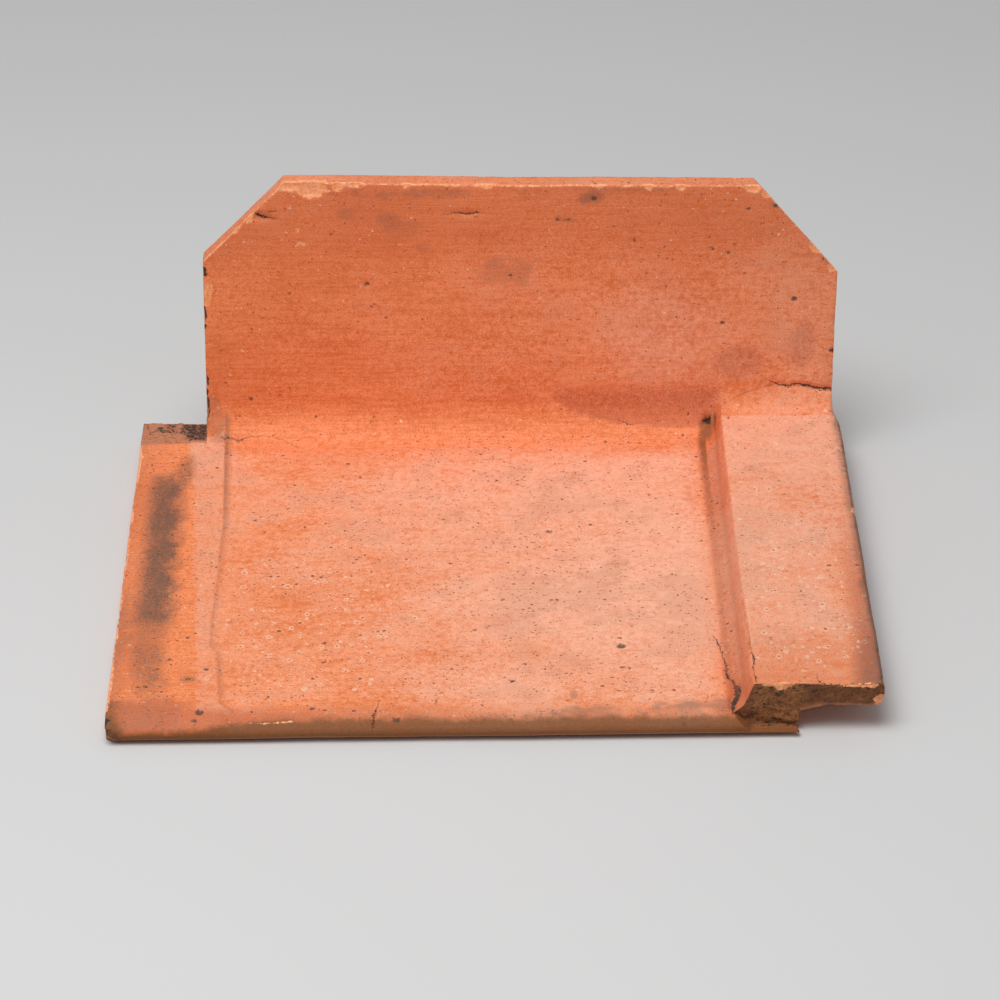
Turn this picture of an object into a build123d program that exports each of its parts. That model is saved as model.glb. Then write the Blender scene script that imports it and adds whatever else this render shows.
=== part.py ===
from build123d import *
from math import atan2, cos, radians, sin, tan
import os

# Clay roof tile with an upstand along its back, pressed and fired as one piece.
# Millimetres and degrees. X runs along the row of tiles, Y from the nose to the upstand, Z up.
# The origin is at the middle of the footprint, on the face that the tile lies on.

# Overall size, with the slab and the lap adding up to the width
slab_width = 407.3           # left edge to the right face, which the neighbour's slab comes up to
flange_lap = 50.7            # how far the flange reaches past the slab, over the neighbour
depth = 389.0                # nose to the back of the upstand
height = 192.5               # floor to the highest point of the upstand

# Slab, with a round nose along the front
slab_thickness = 15.5        # at the left lap strip
nose_reach = 20.0            # how far back the round of the nose runs over the top
nose_foot = 6.0              # height of the nose's foremost line above the floor
nose_undercut = 12.0         # how far back the round runs underneath

# Pan, the shallow tray between the lap strip and the flange
strip_width = 57.5           # left lap strip, up to the pan
pan_drop = 1.5               # how much lower the pan lies
pan_ramp = 7.0               # width of the slope down into it

# Flange, the raised right edge that laps over the neighbour's strip
lap_clearance = 1.5          # flange underside above the strip it covers
flange_thickness = 14.3
flange_edge_round = 2.5      # along its outer edge, top and bottom
step_base = 33.3             # foot of the step up to the flange, back from the slab's right face
step_batter = 6.6            # how far the step leans over its height
step_hollow = 8.0            # radius where the step meets the pan
step_arris = 1.2             # radius along the top of the step

# Right front end, where the nose is broken off level with the flange's end
end_setback = 8.4            # broken face, back from the nose's foremost line
end_ledge = 4.5              # what is left of the nose below the broken face
end_slant = 10.0             # how far the break runs in as it drops from the pan to that ledge

# Upstand
upstand_thickness = 14.4
upstand_inset = 3.9          # right end of the upstand, inside the flange's outer edge
left_clip_width = 52.7
left_clip_height = 54.5
right_clip_width = 50.3
right_clip_height = 60.0
right_clip_bevel = 14.0      # the right clip is cut square to a line turned this far
pan_cove = 22.0              # radius between pan and upstand
flange_cove = 15.0           # radius between flange and upstand
paring_heel = 6.7            # a cut pares the pan cove's left end, this far in front of the wall
paring_turn = 28.6           # that cut is turned in plan
paring_lean = 19.3           # and leans back
arris = 1.0                  # softened edges of the upstand and the strip

# Joints to the next tile in the row
slab_joint = 4.0             # between slabs
upstand_joint = 0.7          # between upstands

# Notch at the left end of the upstand, which takes the end of the neighbour's
notch_depth = 33.7
notch_fall = 1.8             # the rough floor of the notch falls this much to the back

# Out of square, as the tile left its mould
front_skew = 0.58
left_skew = 0.17
right_skew = 0.14
top_fall = 0.69
left_end_lean = 0.44

# Worked out from the values above
beyond = 40.0                # how far a cutting shape runs past the tile
overlap = 1.0                # how far added clay runs into what it joins
width = slab_width + flange_lap
pan_top = slab_thickness - pan_drop
flange_underside = slab_thickness + lap_clearance
flange_top = flange_underside + flange_thickness
step_foot_x = slab_width - step_base
step_top_x = step_foot_x + step_batter
step_angle = atan2(flange_top - pan_top, step_batter)
hollow_run = step_hollow * tan(step_angle / 2)
upstand_front = depth - upstand_thickness
upstand_right = width - upstand_inset
row_pitch = slab_width + slab_joint
upstand_left = upstand_right - row_pitch + upstand_joint
end_face_y = slab_width * tan(radians(front_skew)) + end_setback
left_top_z = height - left_clip_height
left_top_x = upstand_left + left_top_z * tan(radians(left_end_lean))
clip_left_x = left_top_x + left_clip_width
clip_right_x = upstand_right - right_clip_width
right_top_z = height - (clip_right_x - clip_left_x) * tan(radians(top_fall))


def shape_along_x(outline, start, end):
    """Solid with an outline in Y and Z, from one X to another."""
    face = make_face(Plane.YZ.offset(start) * outline)
    return extrude(face, amount=end - start, dir=(1, 0, 0))


def shape_along_y(outline, start, end):
    """Solid with an outline in X and Z, from one Y to another."""
    face = make_face(Plane.XZ.offset(-start) * outline)
    return extrude(face, amount=end - start, dir=(0, 1, 0))


def plan_block(corners, low, high):
    """Upright block over a polygon in plan."""
    face = make_face(Plane.XY.offset(low) * Polyline(*corners, close=True))
    return extrude(face, amount=high - low, dir=(0, 0, 1))


def slab_with_nose(thickness):
    """Slab whose front edge is a flat ellipse above its foremost line and a small one below."""
    outline = Curve() + [
        EllipticalCenterArc((nose_reach, nose_foot), nose_reach, thickness - nose_foot, 90,
                            arc_size=90),
        EllipticalCenterArc((nose_undercut, nose_foot), nose_undercut, nose_foot, 180,
                            arc_size=90),
        Polyline((nose_undercut, 0), (depth + beyond, 0), (depth + beyond, thickness),
                 (nose_reach, thickness)),
    ]
    bar = shape_along_x(outline, -beyond, slab_width + beyond)
    return Rot(0, 0, front_skew) * bar


def plan_of_slab():
    """Block that trims the slab to its left and right edges and to the back of the upstand."""
    left_back = depth * tan(radians(left_skew))
    corners = [(0, -beyond), (slab_width, -beyond), (slab_width, depth), (left_back, depth), (0, 0)]
    return plan_block(corners, -beyond, height)


def strip_block():
    """Block over the left lap strip, with the slope down to the pan as its right side."""
    ramp_slope = pan_ramp / pan_drop
    run_down = (pan_drop + beyond) * ramp_slope
    outline = Polyline((-beyond, -beyond), (strip_width + run_down, -beyond),
                       (strip_width, slab_thickness), (strip_width, height), (-beyond, height),
                       close=True)
    return shape_along_y(outline, -beyond, depth)


def slab():
    """Pan and lap strip, one a little lower than the other, with one nose across both."""
    strip = slab_with_nose(slab_thickness) & strip_block()
    whole = (slab_with_nose(pan_top) + strip) & plan_of_slab()
    left_face = whole.faces().sort_by(Axis.X)[0]
    upper_edges = [edge for edge in left_face.edges() if edge.center().Z > nose_foot]
    return fillet(upper_edges, arris)


def flange():
    """Step and flange as one section, open under the flange where the neighbour's strip goes."""
    outline = FilletPolyline(
        (step_foot_x, 0), (slab_width, 0), (slab_width, flange_underside),
        (width, flange_underside), (width, flange_top), (step_top_x, flange_top),
        (step_foot_x, pan_top), close=True,
        radius=[0, 0, 0, flange_edge_round, flange_edge_round, step_arris, 0])
    right_front = width - depth * tan(radians(right_skew))
    edge_line = [(0, 0), (right_front, 0), (width, depth), (0, depth)]
    return shape_along_y(outline, end_face_y, depth) & plan_block(edge_line, 0, height)


def step_hollow_fill():
    """Clay in the corner between the pan and the step, under a round that is tangent to both."""
    rise = hollow_run * sin(step_angle)
    upper = (step_foot_x + hollow_run * cos(step_angle), pan_top + rise)
    lower = (step_foot_x - hollow_run, pan_top)
    outline = Curve() + [
        TangentArc(lower, upper, tangent=(1, 0)),
        Polyline(upper, (upper[0] + rise, pan_top - rise), (lower[0], pan_top - pan_drop), lower),
    ]
    return shape_along_y(outline, end_face_y, upstand_front)


def broken_end():
    """What is missing at the right front: the nose above a low ledge, under a slanting break."""
    start_x = step_foot_x - hollow_run
    outline = Polyline((start_x, height), (start_x, pan_top - pan_drop),
                       (start_x + end_slant, end_ledge), (width, end_ledge), (width, height),
                       close=True)
    return shape_along_y(outline, -beyond, end_face_y)


def right_clip_facet():
    """What the right clip takes off: it is cut square to a line that runs in towards the back."""
    along = Vector(right_clip_width, 0, -right_clip_height).normalized()
    out = Vector(right_clip_height, 0, right_clip_width).normalized()
    turn = radians(right_clip_bevel)
    facing = out * cos(turn) + Vector(0, sin(turn), 0)
    facet = Plane(origin=(clip_right_x, upstand_front, right_top_z), x_dir=along, z_dir=facing)
    reach = 2 * (right_clip_width + right_clip_height)
    return facet * Box(reach, reach, beyond, align=(Align.CENTER, Align.CENTER, Align.MIN))


def upstand():
    """Wall along the back, clipped at both top corners and open under its right end."""
    outline = Polyline((upstand_left, 0), (slab_width, 0), (slab_width, flange_underside),
                       (upstand_right, flange_underside),
                       (upstand_right, right_top_z - right_clip_height),
                       (clip_right_x, right_top_z), (clip_left_x, height),
                       (left_top_x, left_top_z), close=True)
    wall = shape_along_y(outline, upstand_front, depth) - right_clip_facet()
    soft = [edge for edge in wall.edges()
            if abs((edge @ 0).Y - (edge @ 1).Y) < arris and edge.center().Z > flange_top]
    return fillet(soft, arris)


def cove(floor_z, radius, start, end):
    """Clay in the corner between the upstand and a floor, under a hollow round."""
    front = upstand_front - radius
    behind = upstand_front + overlap
    outline = Curve() + [
        CenterArc((front, floor_z + radius), radius, -90, 90),
        Polyline((upstand_front, floor_z + radius), (behind, floor_z + radius),
                 (behind, floor_z - overlap), (front, floor_z - overlap), (front, floor_z)),
    ]
    return shape_along_x(outline, start, end)


def pared_corner():
    """What is pared off the pan cove's left end, in front of a cut that leans back."""
    turn = radians(paring_turn)
    lean = radians(paring_lean)
    facing = (-sin(turn) * cos(lean), -cos(turn) * cos(lean), sin(lean))
    heel = (upstand_left, upstand_front - paring_heel, slab_thickness)
    reach = 4 * pan_cove
    cut = Plane(origin=heel, x_dir=(cos(turn), -sin(turn), 0), z_dir=facing)
    return cut * Box(reach, reach, reach, align=(Align.CENTER, Align.CENTER, Align.MIN))


def notch():
    """What is missing behind the lap strip: a wedge that deepens to the back."""
    front = depth - notch_depth
    outline = Polyline((front, slab_thickness), (depth, slab_thickness - notch_fall),
                       (depth, height), (front, height), close=True)
    return shape_along_x(outline, -beyond, upstand_left)


tile = slab() - broken_end() + flange() + step_hollow_fill() + upstand()
tile = tile + (cove(pan_top, pan_cove, upstand_left, step_top_x) - pared_corner())
tile = tile + cove(flange_top, flange_cove, step_top_x, upstand_right) - notch()
tile = Pos(-width / 2, -depth / 2, 0) * tile
tile.label = "tile"

os.makedirs("parts", exist_ok=True)
export_step(tile, "parts/tile.step")
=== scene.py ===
from math import atan2, cos, pi, radians, sin, tan
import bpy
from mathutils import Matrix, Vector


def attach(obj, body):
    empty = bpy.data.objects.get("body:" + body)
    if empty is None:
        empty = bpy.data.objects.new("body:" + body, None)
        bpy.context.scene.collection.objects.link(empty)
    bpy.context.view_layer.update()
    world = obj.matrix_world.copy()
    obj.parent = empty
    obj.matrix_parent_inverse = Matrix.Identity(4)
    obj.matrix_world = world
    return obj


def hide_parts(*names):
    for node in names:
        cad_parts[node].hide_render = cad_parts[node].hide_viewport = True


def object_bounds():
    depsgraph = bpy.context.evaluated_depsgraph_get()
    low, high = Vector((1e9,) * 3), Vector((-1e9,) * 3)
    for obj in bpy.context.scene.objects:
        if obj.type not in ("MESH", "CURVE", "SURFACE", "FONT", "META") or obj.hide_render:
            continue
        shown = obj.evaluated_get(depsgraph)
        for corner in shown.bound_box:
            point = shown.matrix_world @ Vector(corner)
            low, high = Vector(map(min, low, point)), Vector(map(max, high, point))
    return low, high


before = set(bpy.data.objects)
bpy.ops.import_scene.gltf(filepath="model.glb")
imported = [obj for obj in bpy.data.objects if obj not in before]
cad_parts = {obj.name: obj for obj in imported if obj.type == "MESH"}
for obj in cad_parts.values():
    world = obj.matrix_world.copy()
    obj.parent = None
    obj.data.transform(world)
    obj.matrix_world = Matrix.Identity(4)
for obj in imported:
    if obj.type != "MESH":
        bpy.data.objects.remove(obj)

from types import SimpleNamespace

import bmesh
import bpy
import numpy as np
from mathutils import Vector
from mathutils.geometry import delaunay_2d_cdt

cad_box = [list(corner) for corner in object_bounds()]

# Clay roof tile as one closed mesh, worn as the photo shows it. Sizes are millimetres and degrees from
# the tile's low corner: x from the left edge, y from the nose, z from the face that it lies on.
MM = 0.001
WIDTH = 458.0
SLAB_WIDTH = 407.3
DEPTH = 389.0
HEIGHT = 192.5
STRIP_TOP = 15.5
PAN_TOP = 14.0
RAMP = 7.0
NOSE_REACH = 20.0
NOSE_FOOT = 6.0
NOSE_UNDERCUT = 12.0
FLANGE_UNDERSIDE = 17.0
FLANGE_TOP = 31.3
FLANGE_ROUND = 2.5
STEP_FOOT = 374.0
STEP_TOP = 380.6
STEP_HOLLOW = 8.0
STEP_ARRIS = 1.2
STEP_ANGLE = atan2(FLANGE_TOP - PAN_TOP, STEP_TOP - STEP_FOOT)
HOLLOW_START = STEP_FOOT - STEP_HOLLOW * tan(STEP_ANGLE / 2)
HOLLOW_END = HOLLOW_START + STEP_HOLLOW * sin(STEP_ANGLE)
STEP_ROUND_END = STEP_TOP + STEP_ARRIS * tan(STEP_ANGLE / 2)
STEP_ROUND_START = STEP_ROUND_END - STEP_ARRIS * sin(STEP_ANGLE)
END_Y = 12.52                # broken face at the right front
END_LEDGE = 4.5
END_SLANT = 10.0
BREAK_TOP = 12.5             # where the slanting break starts, at the step's hollow
WALL_Y = 374.6
WALL_LEFT = 43.5
WALL_RIGHT = 454.1
CLIP_LEFT_X = 97.26
CLIP_LEFT_Z = 138.0
CLIP_RIGHT_X = 403.8
CLIP_RIGHT_Z = 188.81
CLIP_RIGHT_RUN = 50.3
CLIP_RIGHT_FALL = 60.0
CLIP_RIGHT_BEVEL = 14.0
PAN_COVE = 22.0
FLANGE_COVE = 15.0
ARRIS = 1.0
END_ROUND = 0.4
NOTCH_Y = 355.3
NOTCH_FALL = 1.8
FRONT_SKEW = 0.58
LEFT_SKEW = 0.17
RIGHT_SKEW = 0.14
LEFT_END_LEAN = 0.44

# Border between the lap strip and the pan, from the wall to the nose: x, y
PAN_BORDER = ((55.4, 354.0), (57.0, 297.0), (59.0, 250.0), (58.4, 215.0), (58.5, 180.0),
              (57.6, 155.0), (56.4, 123.0), (57.6, 88.0), (62.0, 82.0), (63.5, 56.0),
              (66.0, 23.0), (77.0, 10.0))

# How the surfaces are divided: rows under the nose, on its four runs up to the line of the broken
# face, in the cove, over a small round, across the wall's top, in the notch and beside the wall
UNDER_ROWS = 6
NOSE_RUNS = (5, 6, 8, 9)
NOSE_ROWS = 1 + UNDER_ROWS + sum(NOSE_RUNS)
UNDERSIDE_ROW = UNDER_ROWS + sum(NOSE_RUNS[:3])
COVE_ROWS = 12
ROUND_ROWS = 3
WALL_TOP_ROWS = 9
NOTCH_ROWS = 20
RIM_END_ROWS = 14
COLUMN_STEP = 1.7            # between columns of points on the flange
WEB_STEP = 6.0               # between points along the edges that aren't seen


def smooth(t):
    """Smooth step from 0 to 1: three t squared less two t cubed, level at both ends."""
    t = np.clip(t, 0, 1)
    return t * t * (3 - 2 * t)


def fade(value, start, end):
    """Smooth step of a value, from 0 at start to 1 at end, whichever of the two is higher."""
    return smooth((value - start) / (end - start))


def clay_noise(points, size, seed):
    """Noise from -1 to 1: random values at the corners of cubes of one size, blended inside each
    cube by smooth steps along the three axes."""
    table = np.random.default_rng(seed).uniform(-1, 1, (32, 32, 32))
    grid = points / size
    cell = np.floor(grid).astype(int)
    part = grid - cell
    part = part * part * (3 - 2 * part)
    total = np.zeros(len(points))
    for corner in np.ndindex(2, 2, 2):
        weight = np.prod(np.where(corner, part, 1 - part), axis=1)
        index = (cell + corner) % 32
        total += weight * table[index[:, 0], index[:, 1], index[:, 2]]
    return total


def front_line(x):
    """The nose's foremost line runs back as it goes right, at a fixed small angle."""
    return x * tan(radians(FRONT_SKEW))


def step_rise(x):
    """Height over the pan across the step: a hollow round, a leaning face, a small round at its
    top and the flat flange."""
    rise = FLANGE_TOP - PAN_TOP
    in_hollow = np.clip(x - HOLLOW_START, 0, HOLLOW_END - HOLLOW_START)
    hollow = STEP_HOLLOW - np.sqrt(STEP_HOLLOW ** 2 - in_hollow ** 2)
    face = (x - STEP_FOOT) * tan(STEP_ANGLE)
    in_round = np.clip(STEP_ROUND_END - x, 0, STEP_ROUND_END - STEP_ROUND_START)
    top = rise - STEP_ARRIS + np.sqrt(STEP_ARRIS ** 2 - in_round ** 2)
    return np.where(x < HOLLOW_END, hollow, np.where(x < STEP_ROUND_START, face, top))


def pan_border(y):
    """x of the ragged border between strip and pan, straight between its points."""
    across, along = zip(*PAN_BORDER[::-1])
    return np.interp(y, along, across)


def pan_level(x, y):
    """Height of strip and pan: the strip's, less the drop on a slope right of the border, steepest
    at the border and flattening by a power of the way down."""
    ahead = np.clip((x - pan_border(y)) / RAMP, 0, 1)
    return STRIP_TOP - (STRIP_TOP - PAN_TOP) * (1 - (1 - ahead) ** 3.0)


def floor_height(x, y):
    """Height of the top face in front of the wall: the strip and pan, rounded off over the nose by
    a quarter of an ellipse, plus the step, in front of which the nose's round fades out."""
    level = pan_level(x, y)
    over = np.clip((y - front_line(x)) / NOSE_REACH, 0, 1)
    nose = NOSE_FOOT + (level - NOSE_FOOT) * np.sqrt(1 - (1 - over) ** 2)
    held = smooth((x - HOLLOW_START) / STEP_HOLLOW)
    return nose + (level - nose) * held + step_rise(x)


def cove_radius(x):
    """Radius at the wall's foot: the pan's, changing evenly to the flange's across the step."""
    share = np.clip((x - STEP_FOOT) / (STEP_TOP - STEP_FOOT), 0, 1)
    return PAN_COVE + (FLANGE_COVE - PAN_COVE) * share


def wall_top(x, y):
    """Height of the wall: the lowest of its left clip, its falling top and the bevelled right
    clip, each a plane."""
    left = CLIP_LEFT_Z + (x - WALL_LEFT) * (HEIGHT - CLIP_LEFT_Z) / (CLIP_LEFT_X - WALL_LEFT)
    fall = (HEIGHT - CLIP_RIGHT_Z) / (CLIP_RIGHT_X - CLIP_LEFT_X)
    top = HEIGHT - (x - CLIP_LEFT_X) * fall
    slope = CLIP_RIGHT_FALL / CLIP_RIGHT_RUN
    bevel = tan(radians(CLIP_RIGHT_BEVEL)) * np.hypot(1, slope)
    right = CLIP_RIGHT_Z - (x - CLIP_RIGHT_X) * slope - (y - WALL_Y) * bevel
    return np.minimum(np.minimum(left, top), right)


def spread(start, end, step):
    """Even values from start up to end, end left out, no further apart than step."""
    count = int(np.ceil((end - start) / step))
    return start + (end - start) * np.arange(count) / count


def rows(count):
    """Even shares above 0 up to 1."""
    return (np.arange(count) + 1.0)[:, None] / count


def nose_rows(x):
    """The nose at each x, as rows that go round underneath, up the front and over the top to the
    line of the broken face. Left of the break they follow two quarter ellipses. Right of it they
    follow them up to the ledge, go back along it, and climb the broken face in two runs that meet
    at the flange's underside."""
    lead = front_line(x)
    level = pan_level(x, NOSE_REACH + lead)
    share = (x - HOLLOW_START) / END_SLANT
    ledge = np.where(share < 1, BREAK_TOP + (END_LEDGE - BREAK_TOP) * share, END_LEDGE)
    broken = x > HOLLOW_START + 0.01
    ledge = np.where(broken, ledge, level)
    under_end = np.where(ledge < NOSE_FOOT, np.arccos(np.clip(1 - ledge / NOSE_FOOT, -1, 1)), pi / 2)
    over_ledge = np.arcsin(np.clip((ledge - NOSE_FOOT) / (level - NOSE_FOOT), 0, 1))
    over_end = np.arccos(1 - (END_Y - lead) / NOSE_REACH)
    gather = smooth((x - HOLLOW_START + 60) / 60)
    stops = [0, 0.34 + 0.63 * gather, 0.6 + 0.4 * gather, 0.8 + 0.2 * gather, 1]

    turn = np.vstack([0 * x, rows(UNDER_ROWS) * under_end])
    ys = [lead + NOSE_UNDERCUT * (1 - np.sin(turn))]
    zs = [NOSE_FOOT * (1 - np.cos(turn))]
    ledge_y = np.where(ledge < NOSE_FOOT, ys[0][-1],
                       lead + NOSE_REACH * (1 - np.cos(over_ledge)))
    top = floor_height(x, END_Y + 0 * x)
    middle = np.clip(FLANGE_UNDERSIDE, ledge, top)
    bends = [(ledge_y, ledge), (END_Y + 0 * x, ledge), (END_Y + 0 * x, middle), (END_Y + 0 * x, top)]
    for run, count in enumerate(NOSE_RUNS):
        part = rows(count)
        turn = (stops[run] + (stops[run + 1] - stops[run]) * part) * over_end
        whole_y = lead + NOSE_REACH * (1 - np.cos(turn))
        whole_z = NOSE_FOOT + (level - NOSE_FOOT) * np.sin(turn)
        if run == 0:
            turn = part * over_ledge
            torn_y = np.where(ledge < NOSE_FOOT, ledge_y, lead + NOSE_REACH * (1 - np.cos(turn)))
            torn_z = np.where(ledge < NOSE_FOOT, ledge, NOSE_FOOT + (level - NOSE_FOOT) * np.sin(turn))
        else:
            (y0, z0), (y1, z1) = bends[run - 1:run + 1]
            torn_y = y0 + (y1 - y0) * part
            torn_z = z0 + (z1 - z0) * part
        ys.append(np.where(broken, torn_y, whole_y))
        zs.append(np.where(broken, torn_z, whole_z))
    return np.vstack(ys), np.vstack(zs)


def shares(bend, fine, coarse):
    """Shares above 0 up to 1, with one spacing up to a bend and another from there on."""
    return np.concatenate([spread(0.0, bend, fine)[1:], spread(bend, 1.0, coarse), [1.0]])[:, None]


FLOOR_SHARES = shares(0.036, 0.0045, 0.0061)
WALL_SHARES = shares(0.92, 0.0122, 0.0071)


def floor_rows(x, end):
    """The top face at each x, from the broken face's line to a line near the wall."""
    ys = END_Y + FLOOR_SHARES * (end - END_Y) + 0 * x
    return ys, floor_height(x + 0 * ys, ys)


def wall_rows(x):
    """The wall at each x: a quarter round up from the floor, the upright front, a small round, the
    top face and a small round down to the back."""
    radius = cove_radius(x)
    start = WALL_Y - radius
    base = floor_height(x, start)
    turn = rows(COVE_ROWS) * pi / 2
    ys = [start + radius * np.sin(turn)]
    zs = [base + radius * (1 - np.cos(turn))]
    foot = base + radius
    head = wall_top(x, WALL_Y) - ARRIS
    zs.append(foot + WALL_SHARES * (head - foot))
    ys.append(WALL_Y + 0 * zs[-1])
    turn = rows(ROUND_ROWS) * pi / 2
    ys.append(WALL_Y + ARRIS * (1 - np.cos(turn)) + 0 * x)
    zs.append(wall_top(x, ys[-1]) - ARRIS * (1 - np.sin(turn)))
    ys.append(WALL_Y + ARRIS + rows(WALL_TOP_ROWS) * (DEPTH - WALL_Y - 2 * ARRIS) + 0 * x)
    zs.append(wall_top(x, ys[-1]))
    ys.append(DEPTH - ARRIS + ARRIS * np.sin(turn) + 0 * x)
    zs.append(wall_top(x, ys[-1]) - ARRIS * (1 - np.cos(turn)))
    return np.vstack(ys), np.vstack(zs)


def rounded_in(ys, zs, sines, weight):
    """Columns beside an end, moved in from their line by the arris less its part in each column,
    square to the line: the mean way of the two runs at a point, turned a quarter."""
    run_y, run_z = np.diff(ys, axis=0), np.diff(zs, axis=0)
    length = np.maximum(np.hypot(run_y, run_z), 1e-9)
    run_y, run_z = run_y / length, run_z / length
    way_y = np.vstack([run_y[:1], run_y[:-1] + run_y[1:], run_y[-1:]])
    way_z = np.vstack([run_z[:1], run_z[:-1] + run_z[1:], run_z[-1:]])
    length = np.maximum(np.hypot(way_y, way_z), 1e-9)
    inset = END_ROUND * (1 - sines) * weight
    return ys + inset * way_z / length, zs - inset * way_y / length


def wall_end_weight(count):
    """How far each row of the wall takes the round of its ends: not in the cove, and fading out
    over the last rows so that the back stays flat."""
    row = np.arange(count)
    return (smooth(row / COVE_ROWS - 0.6) * np.clip((count - 1 - row) / 3.0, 0, 1))[:, None]


QUARTER = np.linspace(0, pi / 2, 4)


def sheet(ys, zs, x):
    """Grid of points, rows by columns, from two arrays and the x of each column."""
    return np.dstack([np.broadcast_to(x, ys.shape), ys, zs])


def strip_sheet():
    """The lap strip left of the wall, with a rounded left edge and the notch's falling floor."""
    x = np.concatenate([ARRIS * (1 - np.cos(QUARTER[:-1])), spread(ARRIS, WALL_LEFT, 1.8), [WALL_LEFT]])
    ny, nz = nose_rows(x)
    fy, fz = floor_rows(x, WALL_Y - PAN_COVE)
    by = WALL_Y - PAN_COVE + rows(NOTCH_ROWS) * (DEPTH - WALL_Y + PAN_COVE) + 0 * x
    bz = STRIP_TOP - NOTCH_FALL * np.clip((by - NOTCH_Y) / (DEPTH - NOTCH_Y), 0, 1)
    ys, zs = np.vstack([ny, fy, by]), np.vstack([nz, fz, bz])
    sines = np.ones(len(x))
    sines[:len(QUARTER) - 1] = np.sin(QUARTER[:-1])
    weight = smooth(np.arange(len(ys)) / 6.0)[:, None]
    ys, zs = rounded_in(ys, zs, sines, weight)
    ys[-1] = DEPTH
    return sheet(ys, np.maximum(zs, 0), x)


def main_sheet():
    """The slab and the wall from the wall's left end to the slab's right face."""
    x = np.concatenate([
        WALL_LEFT + ARRIS * (1 - np.cos(QUARTER[:-1])), spread(WALL_LEFT + ARRIS, 54.0, 1.6),
        spread(54.0, 70.0, 0.8), spread(70.0, CLIP_LEFT_X, 1.6),
        spread(CLIP_LEFT_X, 350.0, 1.95), spread(350.0, HOLLOW_START, 1.15),
        HOLLOW_START + STEP_HOLLOW * np.sin(np.linspace(0, STEP_ANGLE, 9)[:-1]),
        spread(HOLLOW_END, STEP_ROUND_START, 0.5),
        STEP_ROUND_END - STEP_ARRIS * np.sin(np.linspace(STEP_ANGLE, 0, 5)[:-1]),
        spread(STEP_ROUND_END, CLIP_RIGHT_X, COLUMN_STEP),
        spread(CLIP_RIGHT_X, SLAB_WIDTH, COLUMN_STEP), [SLAB_WIDTH]])
    ny, nz = nose_rows(x)
    fy, fz = floor_rows(x, WALL_Y - cove_radius(x))
    wy, wz = wall_rows(x)
    sines = np.ones(len(x))
    sines[:len(QUARTER) - 1] = np.sin(QUARTER[:-1])
    weight = wall_end_weight(len(wy))
    wy, wz = rounded_in(wy, wz, sines, weight)
    return sheet(np.vstack([ny, fy, wy]), np.vstack([nz, fz, wz]), x)


def flange_sheet():
    """The flange's top and the wall on it, from the slab's right face to the wall's right end."""
    x = np.concatenate([spread(SLAB_WIDTH, WALL_RIGHT - ARRIS, COLUMN_STEP),
                        WALL_RIGHT - ARRIS * (1 - np.cos(QUARTER[::-1]))])
    top_y, top_z = END_Y + 0 * x[None], FLANGE_TOP + 0 * x[None]
    fy, fz = floor_rows(x, WALL_Y - FLANGE_COVE)
    wy, wz = wall_rows(x)
    sines = np.ones(len(x))
    sines[-len(QUARTER):] = np.sin(QUARTER[::-1])
    weight = wall_end_weight(len(wy))
    wy, wz = rounded_in(wy, wz, sines, weight)
    return sheet(np.vstack([top_y, fy, wy]), np.vstack([top_z, fz, wz]), x)


def rim_sheet():
    """The flange's outer edge: its section, flat top, round, side and round, carried back along y."""
    inner = WIDTH - FLANGE_ROUND
    turn = np.linspace(0, pi / 2, 5)[1:]
    x = np.concatenate([[WALL_RIGHT, inner], inner + FLANGE_ROUND * np.sin(turn),
                        np.full(5, WIDTH), inner + FLANGE_ROUND * np.cos(turn)])
    high, low = FLANGE_TOP - FLANGE_ROUND, FLANGE_UNDERSIDE + FLANGE_ROUND
    z = np.concatenate([[FLANGE_TOP, FLANGE_TOP], high + FLANGE_ROUND * np.cos(turn),
                        high + (low - high) * rows(5)[:, 0], low - FLANGE_ROUND * np.sin(turn)])
    cove_y = WALL_Y - FLANGE_COVE
    y = np.concatenate([[END_Y], END_Y + FLOOR_SHARES[:, 0] * (cove_y - END_Y),
                        cove_y + rows(RIM_END_ROWS)[:, 0] * (DEPTH - cove_y)])
    return sheet(y[:, None] + 0 * x, z + 0 * y[:, None], x)


def inside(points, loop):
    """Which points lie in a closed outline: a line from each to the right crosses it an odd
    number of times."""
    a, b = loop, np.roll(loop, -1, axis=0)
    px, py = points[:, 0, None], points[:, 1, None]
    spans = (a[:, 1] > py) != (b[:, 1] > py)
    rise = np.where(b[:, 1] == a[:, 1], 1.0, b[:, 1] - a[:, 1])
    cross = a[:, 0] + (py - a[:, 1]) * (b[:, 0] - a[:, 0]) / rise
    return (spans & (px < cross)).sum(axis=1) % 2 == 1


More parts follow.
